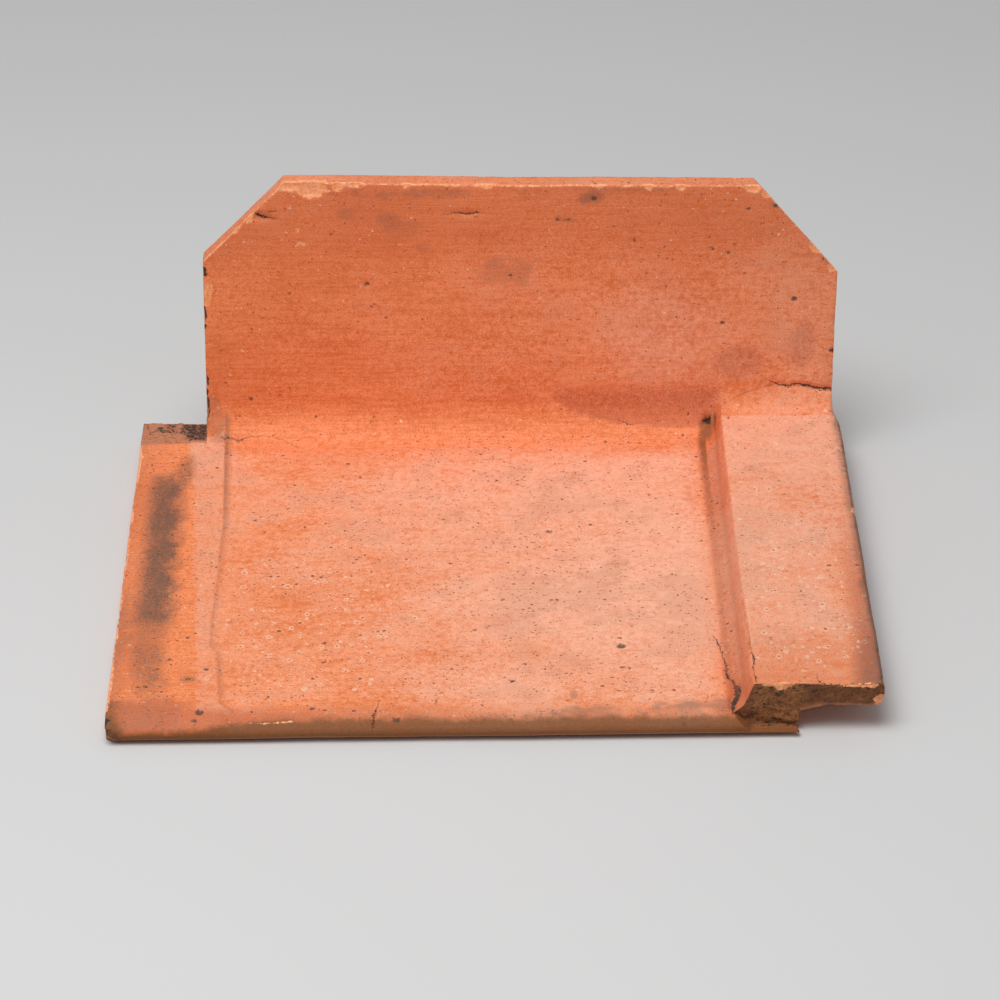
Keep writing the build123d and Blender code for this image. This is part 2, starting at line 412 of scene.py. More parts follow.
def flat_fill(outline, axes, step):
    """A flat face between the sheets: triangles between the points of its outline and a grid of
    points inside it, kept off the outline by a little over half the grid's step."""
    loop = outline[np.any(np.abs(outline - np.roll(outline, 1, axis=0)) > 1e-4, axis=1)]
    flat = loop[:, axes]
    low, high = flat.min(axis=0), flat.max(axis=0)
    gx, gy = np.meshgrid(np.arange(low[0] + step / 2, high[0], step),
                         np.arange(low[1] + step / 2, high[1], step))
    grid = np.column_stack([gx.ravel(), gy.ravel()])
    grid = grid[inside(grid, flat)]
    mid = (flat + np.roll(flat, -1, axis=0)) / 2
    marks = np.vstack([flat, mid])
    near = np.zeros(len(grid), bool)
    for start in range(0, len(marks), 256):
        gap = grid[:, None] - marks[None, start:start + 256]
        near |= (np.sum(gap ** 2, axis=2) < (0.6 * step) ** 2).any(axis=1)
    points = np.vstack([flat, grid[~near]])
    edges = [(i, (i + 1) % len(flat)) for i in range(len(flat))]
    result = delaunay_2d_cdt([Vector(p) for p in points.tolist()], edges, [], 1, 1e-6)
    verts = np.zeros((len(result[0]), 3))
    verts[:, axes] = np.array([tuple(v) for v in result[0]])
    third = 3 - sum(axes)
    verts[:, third] = loop[0, third]
    return verts, [list(face) for face in result[2]]


def line(start, end, step):
    """Points from start up to end, end left out."""
    start, end = np.array(start, float), np.array(end, float)
    count = max(1, int(np.ceil(np.linalg.norm(end - start) / step)))
    return start + (end - start) * (np.arange(count) / count)[:, None]


def grid_faces(grid, offset):
    """Quads between neighbouring points of a grid."""
    index = offset + np.arange(grid.shape[0] * grid.shape[1]).reshape(grid.shape[:2])
    corners = [index[:-1, :-1], index[:-1, 1:], index[1:, 1:], index[1:, :-1]]
    return np.stack(corners, axis=-1).reshape(-1, 4)


def tile_shell():
    """The whole clean shape: four sheets, and the flat faces that close them."""
    strip, main, flange, rim = strip_sheet(), main_sheet(), flange_sheet(), rim_sheet()
    cove_row = NOSE_ROWS + len(FLOOR_SHARES) - 1
    flange_cove_row = len(FLOOR_SHARES)
    web_low, web_high = (SLAB_WIDTH, DEPTH, 0), (SLAB_WIDTH, DEPTH, FLANGE_UNDERSIDE)
    back_left = (strip[-1, 0, 0], DEPTH, 0)
    web_top = line((SLAB_WIDTH, END_Y, FLANGE_UNDERSIDE), web_high, WEB_STEP)
    web_foot = line(main[0, -1], web_low, WEB_STEP)
    web_back = line(web_low, web_high, WEB_STEP)
    back_foot = line(back_left, web_low, WEB_STEP)
    left_foot = line(strip[0, 0], back_left, WEB_STEP)
    left_back = line(back_left, strip[-1, 0], WEB_STEP)
    under_back = line(web_high, rim[-1, -1], WEB_STEP)
    wall_left_back = line(strip[-1, -1], main[-1, 0], WEB_STEP)
    wall_right_back = line(rim[-1, 0], flange[-1, -1], WEB_STEP)
    front_foot = np.vstack([flange[0] * (1, 1, 0) + (0, 0, FLANGE_UNDERSIDE), rim[0, -1]])
    up = slice(None, None, -1)

    # Each flat face: the runs of its outline, the two axes that it lies along, and its grid's step
    fills = [
        ((strip[:, 0], left_back[up], left_foot[up]), [1, 2], 5.0),
        ((strip[0], main[0, 1:], web_foot[1:], [web_low], back_foot[up], left_foot[up]), [0, 1], 12.0),
        ((main[:UNDERSIDE_ROW + 1, -1], web_top[1:], [web_top[-1] * (1, 0, 1) + (0, DEPTH, 0)],
          web_back[up], web_foot[up]), [1, 2], 6.0),
        ((front_foot, rim[1:, -1], under_back[up], web_top[up]), [0, 1], 8.0),
        ((front_foot, rim[0, up], flange[0, up], main[NOSE_ROWS - 1:UNDERSIDE_ROW:-1, -1]), [0, 2], 1.3),
        ((strip[cove_row:, -1], wall_left_back[1:], main[-1:cove_row - 1:-1, 0]), [1, 2], 2.5),
        ((rim[flange_cove_row:, 0], wall_right_back[1:], flange[-1:flange_cove_row - 1:-1, -1]),
         [1, 2], 2.5),
        ((back_foot, web_back, under_back, rim[-1, up], wall_right_back[1:], flange[-1, up],
          main[-1, -2::-1], wall_left_back[up], strip[-1, up], left_back[up]), [0, 2], 7.0),
    ]
    verts, faces, total = [], [], 0
    for part in (strip, main, flange, rim):
        faces.extend(grid_faces(part, total).tolist())
        verts.append(part.reshape(-1, 3))
        total += len(verts[-1])
    for runs, axes, step in fills:
        points, triangles = flat_fill(np.vstack(runs), axes, step)
        faces.extend([[total + i for i in face] for face in triangles])
        verts.append(points)
        total += len(points)
    return np.vstack(verts), faces


def welded(verts, faces):
    """One closed mesh: points that lie together merged, and faces turned outwards."""
    mesh = bpy.data.meshes.new("tile_clay")
    mesh.from_pydata(verts.tolist(), [], faces)
    work = bmesh.new()
    work.from_mesh(mesh)
    bmesh.ops.remove_doubles(work, verts=work.verts, dist=0.01)
    bmesh.ops.dissolve_degenerate(work, edges=work.edges, dist=0.001)
    loose = [v for v in work.verts if not v.link_faces]
    bmesh.ops.delete(work, geom=loose, context="VERTS")
    bmesh.ops.recalc_face_normals(work, faces=work.faces)
    work.to_mesh(mesh)
    work.free()
    return mesh


# Cracks: the way their surface faces, then x, y, z and width along them
UPWARD, FORWARD, IN_COVE = (0, 0, 1), (0, -1, 0), (0, -0.6, 0.8)
CRACKS = (
    (FORWARD, ((457, 374, 43.2, 1.7), (444, 374, 44.4, 1.6), (434, 374, 46.6, 1.7),
               (431, 374, 47.2, 1.3), (426, 374, 45.8, 1.0), (418, 374, 47.4, 0.9),
               (411, 374, 50.5, 0.4))),
    (FORWARD, ((418, 374, 47.3, 0.5), (403, 374, 44.0, 0.45), (395, 374, 40.7, 0.4),
               (387, 372, 37.2, 0.35), (379, 370, 33.5, 0.3))),
    (IN_COVE, ((54, 362, 17.2, 0.9), (60, 362, 16.2, 0.7), (64.5, 361, 15.4, 0.8), (72, 363, 16.6, 0.6),
               (80, 363.8, 16.9, 0.55), (90, 362, 16.1, 0.45), (98, 358, 14.6, 0.45),
               (108, 349, 14.0, 0.3))),
    (IN_COVE, ((64, 362.5, 16.1, 0.5), (65, 350, 14.0, 0.25))),
    (IN_COVE, ((289, 373.2, 28.4, 0.2), (302, 372, 25.2, 0.35), (315, 370.5, 23.0, 0.5),
               (319.5, 368.8, 20.9, 0.7), (328, 369.5, 21.9, 0.3), (341, 368.8, 20.7, 0.15),
               (361, 368, 20.3, 0.2), (370, 368.8, 21.3, 0.4))),
    (FORWARD, ((275, 374.6, 47.5, 0.2), (284, 374.6, 41.6, 0.45), (295, 374.6, 36.9, 0.15))),
    (FORWARD, ((306, 374.2, 33.4, 0.15), (312, 374.2, 32.4, 0.4), (323, 374, 31.7, 0.15))),
    (UPWARD, ((362, 101, 14, 0.5), (363.5, 94, 14, 0.8), (365, 86, 14, 0.8), (365.6, 78, 14, 0.6),
              (367, 67, 14, 0.9), (367.2, 53, 14, 1.6), (370.4, 48, 14.2, 1.2), (371.7, 40, 14.6, 2.0),
              (372, 33, 14.8, 2.6), (370, 26, 14.1, 3.0), (368.3, 19, 13.8, 2.0),
              (368.5, 12, 13.4, 1.0))),
    (UPWARD, ((371.4, 248, 14.5, 0.2), (370.4, 196, 14.2, 0.3), (369.4, 145, 14, 0.25),
              (369, 96, 14, 0.35))),
    (UPWARD, ((376.0, 372, 24, 0.6), (376.4, 355, 23, 0.35), (376.2, 330, 22, 0.3),
              (376.0, 300, 22, 0.15))),
    (IN_COVE, ((380.0, 126, 29, 0.2), (380.1, 100, 29.3, 0.4), (380.2, 75, 29.8, 0.45),
               (380.6, 55, 30.7, 0.6), (382.2, 44, 31.2, 1.4), (380.7, 34, 30.6, 0.9),
               (381.8, 18, 31.3, 1.0))),
    (UPWARD, ((418, 25, 31.3, 0.4), (418.2, 19, 31.3, 0.6), (420.3, 15.5, 31.3, 0.9),
              (424, 13.6, 31.3, 1.4), (434, 13.3, 31.3, 1.7), (446, 13.4, 31.3, 1.0),
              (452, 13.2, 31.3, 0.6))),
    (UPWARD, ((160.5, 26, 14, 0.4), (158.7, 18, 14, 0.8), (157.6, 11, 12.7, 1.4), (157.1, 4, 9.6, 0.8))),
    (FORWARD, ((201, 374.6, 170.4, 0.3), (206, 374.6, 171.4, 0.7), (211, 374.6, 170.9, 0.9),
               (215, 374.6, 170.5, 1.5), (219, 374.6, 171.2, 1.0), (226, 374.6, 171.8, 0.3))),
    (FORWARD, ((78.5, 374.6, 172.0, 0.9), (81, 374.6, 169.6, 2.4), (84.5, 374.6, 168.4, 1.7),
               (88, 374.6, 168.6, 0.8), (94, 374.6, 168.2, 0.4))),
    (FORWARD, ((93, 374.6, 173.6, 0.4), (89, 374.6, 172.8, 0.7), (86, 374.6, 173.4, 0.3))),
)

# Chips: centre, and half sizes along, up and into the face. On the wall's front all show fresh clay;
# the others say which way the face looks, and 1 where fresh clay shows
WALL_CHIPS = (
    ((102, 373.8, 191.5), (9.5, 4.5, 1.8)), ((115, 374.0, 190.5), (10.5, 8.5, 2.3)),
    ((132, 374.0, 191.5), (4.0, 4.8, 1.5)), ((143, 374.4, 191.8), (5.5, 2.2, 1.2)),
    ((176, 374.3, 191.4), (3.0, 2.6, 1.2)), ((226, 374.3, 190.9), (6.0, 3.0, 1.2)),
    ((300, 374.4, 190.0), (3.0, 2.4, 1.0)), ((331, 374.3, 189.6), (3.2, 3.4, 1.2)),
    ((352, 374.3, 189.3), (3.4, 3.2, 1.2)), ((399, 374.2, 188.4), (6.5, 4.0, 1.4)),
    ((407, 374.2, 184.5), (3.6, 3.6, 1.3)), ((440, 374.2, 146.0), (4.0, 4.4, 1.4)),
    ((451, 374.2, 131.5), (3.2, 4.0, 1.4)), ((74, 374.2, 169.0), (4.4, 3.6, 1.3)),
    ((66, 374.2, 160.5), (3.0, 3.0, 1.0)), ((106, 374.6, 159.8), (2.6, 1.2, 0.6)),
    ((108.5, 374.6, 150.3), (3.2, 1.4, 0.7)),
)
OTHER_CHIPS = (
    ((45.0, 374.0, 118.5), (5.5, 4.6, 1.6), (-0.6, -0.8, 0), 1),
    ((44.6, 374.0, 109.5), (3.2, 3.4, 1.4), (-0.7, -0.7, 0), 1),
    ((44.4, 374.2, 99.0), (2.2, 6.5, 1.4), (-0.7, -0.7, 0), 0),
    ((44.4, 374.2, 131.0), (1.8, 4.0, 1.1), (-0.7, -0.7, 0), 0),
    ((44.4, 374.2, 52.0), (2.2, 7.0, 1.3), (-0.7, -0.7, 0), 0),
    ((44.4, 374.2, 33.0), (2.2, 8.0, 1.2), (-0.7, -0.7, 0), 0),
    ((0.0, 0.0, 1.0), (7.5, 7.5, 5.5), (-0.62, -0.62, -0.48), 0),
    ((0.5, 1.0, 11.0), (3.0, 5.0, 1.6), (-0.7, -0.7, 0.1), 0),
    ((406.5, 13.0, 2.0), (3.6, 4.5, 2.4), (0.5, -0.8, -0.2), 0),
    ((458, 14.0, 17.0), (5.0, 5.0, 3.0), (0.6, -0.4, -0.7), 1),
    ((458.5, 229, 31.5), (4.5, 2.6, 1.8), (0.7, 0, 0.7), 1),
    ((397.5, 12.0, 31.8), (5.6, 3.4, 1.6), (0, -0.5, 0.87), 1),
    ((407.4, 12.0, 31.6), (1.6, 3.5, 1.8), (0, -0.7, 0.7), 0),
    ((444, 12.0, 31.8), (10.5, 1.8, 1.2), (0, -0.6, 0.8), 1),
    ((424, 12.2, 31.6), (3.6, 3.0, 1.3), (0, -0.6, 0.8), 0),
    ((384, 12.2, 31.6), (2.8, 3.0, 1.6), (0, -0.6, 0.8), 0),
    ((382.3, 45, 31.6), (2.0, 3.6, 0.9), (-0.5, 0, 0.87), 0),
    ((0.0, 131, 15.5), (1.4, 3.4, 1.4), (-0.7, 0, 0.7), 0),
    ((0.0, 338, 15.6), (1.6, 5.0, 1.2), (-0.7, 0, 0.7), 1),
    ((0.0, 322, 15.6), (1.5, 4.0, 1.1), (-0.7, 0, 0.7), 1),
    ((0.0, 205, 15.6), (1.3, 6.0, 0.9), (-0.7, 0, 0.7), 1),
    ((0.0, 95, 15.6), (1.6, 7.0, 1.0), (-0.7, 0, 0.7), 0),
)

# Pits in the strip, the pan and the flange: x, y, radius, depth; and in the wall: x, z, radius, depth
FLOOR_PITS = (
    (265.3, 235.8, 2.4, 1.0), (306.0, 89.5, 3.4, 1.5), (239.1, 48.5, 2.1, 0.9), (55.0, 13.5, 2.8, 1.3),
    (52.0, 7.3, 1.7, 0.8), (121.1, 17.8, 2.0, 0.8), (46.7, 50.7, 2.2, 0.6), (171.0, 8.5, 2.6, 0.9),
    (17.0, 41.7, 1.8, 0.5), (22.5, 41.6, 1.6, 0.5), (136.8, 329.0, 1.7, 0.6), (127.0, 95.5, 1.8, 0.6),
    (126.4, 72.5, 2.0, 0.7), (137.5, 75.0, 1.8, 0.6), (138.3, 207.2, 1.6, 0.4), (146.0, 202.5, 1.6, 0.4),
    (123.6, 178.0, 1.7, 0.4), (108.0, 190.0, 1.6, 0.4), (203.2, 194.0, 1.6, 0.5),
    (334.2, 139.5, 1.5, 0.4), (437.0, 205.0, 1.5, 0.5), (434.0, 152.0, 1.5, 0.4),
    (343.0, 138.0, 1.5, 0.4), (224.1, 159.8, 1.5, 0.4), (291.4, 243.5, 1.5, 0.4),
    (306.0, 64.0, 1.8, 0.5), (57.5, 62.0, 1.7, 0.4),
)
WALL_PITS = (
    (150.1, 121.3, 2.3, 1.0), (426.5, 108.9, 2.6, 0.8), (273.0, 166.5, 1.8, 0.6),
    (279.0, 166.2, 1.7, 0.5), (296.0, 180.8, 2.4, 0.4), (322.4, 151.5, 1.8, 0.8),
    (380.5, 91.9, 1.7, 0.8), (100.1, 114.4, 1.5, 0.6), (395.4, 173.0, 1.7, 0.6),
    (413.0, 175.0, 2.0, 0.7), (372.8, 145.6, 1.5, 0.6), (383.0, 142.7, 1.5, 0.6),
    (453.4, 71.2, 2.4, 1.4), (444.5, 137.4, 1.7, 0.7), (72.8, 38.5, 1.9, 0.5), (91.9, 40.6, 1.7, 0.5),
    (286.8, 95.3, 1.4, 0.4), (242.6, 127.2, 1.5, 0.4), (62.8, 26.5, 1.8, 0.5), (146.2, 31.5, 1.5, 0.5),
)
STEP_HOLE = (371.7, 370.0, 23.0, 3.4, 2.4)       # at the step's back end: x, y, z, radius, depth

# Edges that are worn
WALL_TOP_EDGE = ((WALL_LEFT, WALL_Y, CLIP_LEFT_Z), (CLIP_LEFT_X, WALL_Y, HEIGHT),
                 (CLIP_RIGHT_X, WALL_Y, CLIP_RIGHT_Z),
                 (WALL_RIGHT, WALL_Y, CLIP_RIGHT_Z - CLIP_RIGHT_FALL))
WALL_BACK_EDGE = ((WALL_LEFT, DEPTH, 14), (WALL_LEFT, DEPTH, CLIP_LEFT_Z), (CLIP_LEFT_X, DEPTH, HEIGHT),
                  (CLIP_RIGHT_X, DEPTH, CLIP_RIGHT_Z), (WALL_RIGHT, DEPTH, 123))
STRIP_EDGE = ((0, 14, STRIP_TOP), (0, NOTCH_Y, STRIP_TOP))
TORN_EDGES = (((386, END_Y, FLANGE_TOP), (403, END_Y, FLANGE_TOP)),
              ((434, END_Y, FLANGE_TOP), (454, END_Y, FLANGE_TOP - 1)))

# Worn arrises: path, the way into the clay, how far the wear reaches
WORN = (
    (((WALL_LEFT, WALL_Y, 40), WALL_TOP_EDGE[0]), (0.6, 0.8, 0), 1.6),
    (WALL_TOP_EDGE[:2], (0.3, 0.8, -0.5), 1.1),
    (WALL_TOP_EDGE[1:3], (0, 0.7, -0.7), 0.9),
    (WALL_TOP_EDGE[2:], (-0.4, 0.8, -0.4), 0.9),
    ((WALL_TOP_EDGE[3], (WALL_RIGHT, WALL_Y, 46)), (-0.7, 0.7, 0), 1.0),
    (WALL_BACK_EDGE, (0, -0.7, -0.7), 0.7),
    (STRIP_EDGE, (0.7, 0, -0.7), 1.3),
    (((WIDTH, END_Y, FLANGE_TOP), (WIDTH, DEPTH, FLANGE_TOP)), (-0.7, 0, -0.7), 1.5),
    (((STEP_TOP, END_Y, FLANGE_TOP), (WIDTH, END_Y, FLANGE_TOP)), (0, 0.5, -0.85), 1.6),
    (((0, DEPTH, 0), (SLAB_WIDTH, DEPTH, 0)), (0, -0.7, 0.7), 1.6),
    (((SLAB_WIDTH, 12, 0), (SLAB_WIDTH, DEPTH, 0)), (-0.7, 0, 0.7), 1.4),
    (((0, 12, 0), (0, DEPTH, 0)), (0.7, 0, 0.7), 1.4),
)

# Shallow hollows that fingers left in the wall: x, z, half width, half height, depth
FINGER_HOLLOWS = ((392, 62, 22, 15, 1.0), (435, 72, 13, 23, 0.9), (352, 82, 26, 17, 0.4),
                  (150, 60, 60, 22, 0.5), (250, 140, 70, 24, 0.4))
# Where wet clay was smeared over the cove: middle x, half width, the arc's height and rise
SMEAR = (326, 54, 27, 20)
# The cut at the cove's left end: how far in front of the wall, its turn in plan, and how it leans back
PARING_HEEL, PARING_TURN, PARING_LEAN = 6.7, radians(28.6), radians(19.3)

# Black bites in the wall's left end: z, half length
END_BLACK = ((131, 4), (104, 4), (98, 5), (91, 3), (52, 5), (44, 3), (36, 5), (28, 4), (21, 4))
# Grey patches on the wall: x, z, half width, half height, how strong
GREY_PATCHES = ((168, 166, 14, 10, 0.4), (183, 148, 15, 13, 0.34), (137, 171, 10, 6, 0.34),
                (296, 181, 10, 5, 0.6), (275, 166, 13, 4, 0.5), (413, 175, 11, 6, 0.5),
                (240, 130, 28, 14, 0.33), (330, 187, 60, 4, 0.35), (200, 185, 80, 5, 0.4),
                (48, 30, 10, 24, 0.45), (176, 160, 30, 20, 0.28))
CORNER_BLACK = ((0, 7, 14), (0.5, 2, 9), (1.5, 2.5, 3))       # down the left front corner
NOSE_RUB = ((72, 7, 11.7), (92, 5.6, 11.1), (116, 6.8, 11.5))       # rubbed bare in dots along this line
# Grey smoke along the nose: x, how strong, and how far back from the foremost line it reaches
NOSE_SMOKE = ((0, 0.1, 5), (90, 0.25, 7), (135, 0.5, 10), (185, 0.56, 13), (225, 0.4, 15),
              (256, 0.52, 17), (268, 0.62, 19), (286, 0.64, 21), (300, 0.46, 21), (316, 0.4, 21),
              (326, 0.6, 24), (366, 0.64, 25), (405, 0.55, 24))

FAR = 1e6                    # a distance that no place on the tile has
OUTSIDE = -9.0               # stands for the distance inside a mark anywhere away from it


def path_gap(points, path):
    """Distance from each point to a path in space, the least over its straight runs."""
    path = np.array(path, float)
    gap = np.full(len(points), FAR)
    for a, b in zip(path[:-1], path[1:]):
        share = np.clip(((points - a) @ (b - a)) / ((b - a) @ (b - a)), 0, 1)
        gap = np.minimum(gap, np.linalg.norm(points - a - share[:, None] * (b - a), axis=1))
    return gap


def beside(points, path, facing):
    """How far each point lies to one side of a path, seen from where the surface faces: distance
    with a sign for the side, the path's width at the nearest place, and the distance along the
    view. The nearest of the straight runs counts."""
    path, facing = np.array(path, float), np.array(facing, float)
    facing = facing / np.linalg.norm(facing)
    count = len(points)
    far, side, width, deep = np.full(count, FAR), np.ones(count), np.zeros(count), np.zeros(count)
    for a, b in zip(path[:-1], path[1:]):
        run = b[:3] - a[:3]
        run = run - (run @ facing) * facing
        share = np.clip(((points - a[:3]) @ run) / (run @ run), 0, 1)
        gap = points - a[:3] - share[:, None] * (b[:3] - a[:3])
        along = gap @ facing
        gap = gap - along[:, None] * facing
        off = np.linalg.norm(gap, axis=1)
        near = off < far
        hand = gap @ np.cross(run, facing)
        side = np.where(near, np.where(hand < 0, -1.0, 1.0), side)
        width = np.where(near, a[3] + share * (b[3] - a[3]), width)
        deep = np.where(near, along, deep)
        far = np.where(near, off, far)
    return far, side, width, deep


def scooped(points, centre, half, out):
    """A chip: points inside an ellipsoid with a rough outline go back against the face's way to
    its far surface. The second value is how far each lies inside the outline."""
    out = np.array(out, float) / np.linalg.norm(out)
    level = np.cross(out, (0, 0, 1)) if abs(out[2]) < 0.8 else np.array((1.0, 0, 0))
    level = level / np.linalg.norm(level)
    rise = np.cross(level, out)
    gap = points - np.array(centre)
    rough = 1 + 0.18 * clay_noise(points, 2.7, 31) + 0.1 * clay_noise(points, 1.3, 32)
    p, q, r = (gap @ level) / half[0] * rough, (gap @ rise) / half[1] * rough, (gap @ out) / half[2]
    sag = np.sqrt(np.maximum(1 - p ** 2 - q ** 2, 0))
    hit = (sag > 0) & (r < 2) & (r > -sag)
    inner = (1 - np.hypot(p, q)) * min(half[:2])
    sunk = points - np.where(hit, (r + sag) * half[2], 0)[:, None] * out
    return sunk, np.where(np.abs(r) < 2.5, inner, OUTSIDE)


def ellipse(a, b, middle_a, middle_b, half_a, half_b):
    """Share of an ellipse's half size at which a point lies, 0 at its middle and 1 on its line."""
    return np.hypot((a - middle_a) / half_a, (b - middle_b) / half_b)


def dish(reach):
    """Share of a hollow's depth at a share of its radius: smooth, full to a third, none from 1.17."""
    return smooth(1.4 - 1.2 * reach)


def smear_share(x, z):
    """The smeared place above the pan's cove: full inside an arc that sags in its middle, with a
    crisp lower line and a soft upper one."""
    middle, half, lowest, rise = SMEAR
    arc = lowest - 7 + rise * ((x - middle) / half) ** 4 * 0.5 + 5 * ((middle - x) / half)
    return smooth((z - arc) / 1.5) * fade(z, 52, 36) * fade(np.abs(x - middle), half + 8, half - 4)


def set_out_of_true(points, moved):
    """Small skews of the left edge, the flange and the wall's left end, and the rim drawn in
    beside the wall: each is a shift in x that grows evenly along the part."""
    x, y, z = points.T
    moved[:, 0] += y * tan(radians(LEFT_SKEW)) * np.clip(1 - x / WALL_LEFT, 0, 1)
    on_flange = np.clip((x - SLAB_WIDTH) / (WIDTH - SLAB_WIDTH), 0, 1)
    moved[:, 0] -= (DEPTH - y) * tan(radians(RIGHT_SKEW)) * on_flange
    beside_wall = (y > WALL_Y - 0.01) & (x > WALL_LEFT - 0.01)
    left_end = np.clip((CLIP_LEFT_X - x) / (CLIP_LEFT_X - WALL_LEFT), 0, 1)
    moved[:, 0] += np.where(beside_wall, z * tan(radians(LEFT_END_LEAN)) * left_end, 0)
    outer = np.clip((x - WALL_RIGHT) / (WIDTH - WALL_RIGHT), 0, 1)
    moved[:, 0] -= 3.2 * outer * fade(y, 346, 370)


def cut_and_press(points, moved, front):
    """The pared corner, as points lowered to a leaning cut, and the hollows that fingers left."""
    x, y, z = points.T
    heel = np.array((WALL_LEFT, WALL_Y - PARING_HEEL, STRIP_TOP))
    level = cos(PARING_LEAN)
    out = np.array((-sin(PARING_TURN) * level, -cos(PARING_TURN) * level, sin(PARING_LEAN)))
    ahead = (points - heel) @ out
    pared = (ahead > 0) & (y > WALL_Y - PAN_COVE) & (z < 37)
    pared = pared & (x > WALL_LEFT - 0.01) & (x < WALL_LEFT + 13)
    drop = np.clip(ahead / sin(PARING_LEAN), 0, np.maximum(z - STRIP_TOP, 0))
    moved[:, 2] -= np.where(pared, drop, 0)
    wall_front = (front > 0.1) & (y > 340)
    for middle_x, middle_z, half_x, half_z, deep in FINGER_HOLLOWS:
        reach = ellipse(x, z, middle_x, middle_z, half_x, half_z)
        moved[:, 1] += np.where(wall_front, deep * smooth(1.5 - 1.5 * reach), 0)
    moved[:, 1] += np.where(wall_front, 0.7 * smear_share(x, z), 0)


def tear(points, moved, up, front):
    """Rough breaks: the notch's floor, the torn end with drag lines at its lower left, and the
    lump of clay that the flange's underside keeps near it. Noise of three sizes moves each."""
    x, y, z = points.T
    rough = (0.9 * clay_noise(points, 5.2, 11) + 0.55 * clay_noise(points, 2.3, 12)
             + 0.3 * clay_noise(points, 1.1, 13))
    in_notch = (x < WALL_LEFT + 0.01) & (up > 0.5)
    border = NOTCH_Y - 2.3 + 1.2 * clay_noise(points * (1, 0, 0), 4.0, 14) + 3.9 * x / WALL_LEFT
    drop = 0.35 + 0.7 * fade(x, 22, 36) * fade(y, 364, 372)
    moved[:, 2] += np.where(in_notch & (y > border), 0.75 * rough - drop, 0)
    moved[:, 2] += np.where(in_notch, 1.3 * smooth(1.3 - ellipse(x, y, 31, 366, 5, 4)), 0)
    face = (x > HOLLOW_START - 0.5) & (y < END_Y + 0.05) & (y > 9.5)
    drag = clay_noise(points @ np.array(((0.32, 0, 0.9), (0, 1, 0), (-0.55, 0, 1.6))), 4.2, 15)
    dragged = fade(x, SLAB_WIDTH, SLAB_WIDTH - 12) * fade(z, 24, 14)
    moved[:, 1] += np.where(face & (front > 0.55), 1.3 * rough + 1.2 * drag * dragged + 0.7, 0)
    moved[:, 2] += np.where(face & (front <= 0.55) & (z < 6), 0.5 * rough, 0)
    gusset = np.clip(1 - (x - SLAB_WIDTH) / 18, 0, 1) ** 1.3 * fade(y, 34, 16)
    under = (np.abs(z - FLANGE_UNDERSIDE) < 0.05) & (x > SLAB_WIDTH - 0.01) & (up < 0.3)
    moved[:, 2] -= np.where(under, 4.2 * gusset, 0)
    web = (np.abs(x - SLAB_WIDTH) < 0.01) & (z < FLANGE_UNDERSIDE - 0.05)
    moved[:, 2] -= np.where(web, 4.2 * gusset * z / FLANGE_UNDERSIDE, 0)


def worn_shape(points, normals):
    """The clean shape as making, use and breakage left it: slow noise of three sizes over all of
    it, then the skews, cuts, breaks, worn arrises, chips, pits and cracks. The second value is how
    far each point lies inside a chip that shows fresh clay."""
    x, y, z = points.T
    up, front = normals[:, 2], -normals[:, 1]
    moved = points.copy()
    drift = np.stack([0.45 * clay_noise(points, 62, s) + 0.16 * clay_noise(points, 19, s + 3)
                      + 0.07 * clay_noise(points, 6.5, s + 6) for s in (1, 2, 3)], axis=1)
    drift[:, 2] *= smooth(z / 4)
    moved += drift
    set_out_of_true(points, moved)
    cut_and_press(points, moved, front)
    tear(points, moved, up, front)

    for path, way, reach in WORN:
        bite = np.maximum(clay_noise(points, 9, 21) + 0.8 * clay_noise(points, 3.4, 22) - 0.25, 0)
        bite = reach * (1.3 * bite + 0.12) * smooth(1 - path_gap(points, path) / (2.2 * reach))
        moved += bite[:, None] * np.array(way) / np.linalg.norm(way)
    chipped = np.full(len(points), OUTSIDE)
    for centre, half in WALL_CHIPS:
        moved, inner = scooped(moved, centre, half, FORWARD)
        chipped = np.maximum(chipped, inner)
    for centre, half, out, fresh in OTHER_CHIPS:
        moved, inner = scooped(moved, centre, half, out)
        chipped = np.maximum(chipped, inner if fresh else OUTSIDE)

    wall_front = (front > 0.3) & (y > 340)
    for middle_x, middle_y, radius, deep in FLOOR_PITS:
        hollow = deep * dish(ellipse(x, y, middle_x, middle_y, radius, radius))
        moved[:, 2] -= np.where(up > 0.3, hollow, 0)
    for middle_x, middle_z, radius, deep in WALL_PITS:
        hollow = deep * dish(ellipse(x, z, middle_x, middle_z, radius, radius))
        moved[:, 1] += np.where(wall_front, hollow, 0)
    reach = np.linalg.norm(points - STEP_HOLE[:3], axis=1) / STEP_HOLE[3]
    moved -= normals * (STEP_HOLE[4] * dish(reach))[:, None]
    for facing, path in CRACKS:
        far, _, width, deep = beside(points, path, facing)
        near = (np.abs(deep) < 6) & (normals @ np.array(facing, float) > 0.25)
        dent = np.minimum(width, 1.8) * smooth(1.25 - far / (0.7 + width))
        moved -= normals * np.where(near, dent, 0)[:, None]
    moved[:, 2] = np.maximum(moved[:, 2], 0)
    return moved, chipped


def valley_share(x, y, small):
    """The lowest line of the pan, along the foot of the step, darkened there as painted shade of the
    hollow, with dirt: soft on the pan's side, crisp where the step starts to rise."""
    pan_side = smooth((x - HOLLOW_START + 6 + 0.8 * small) / 6)
    return pan_side * smooth((HOLLOW_START + 2.6 - x + 0.3 * small) / 1.2) * fade(y, 366, 358)


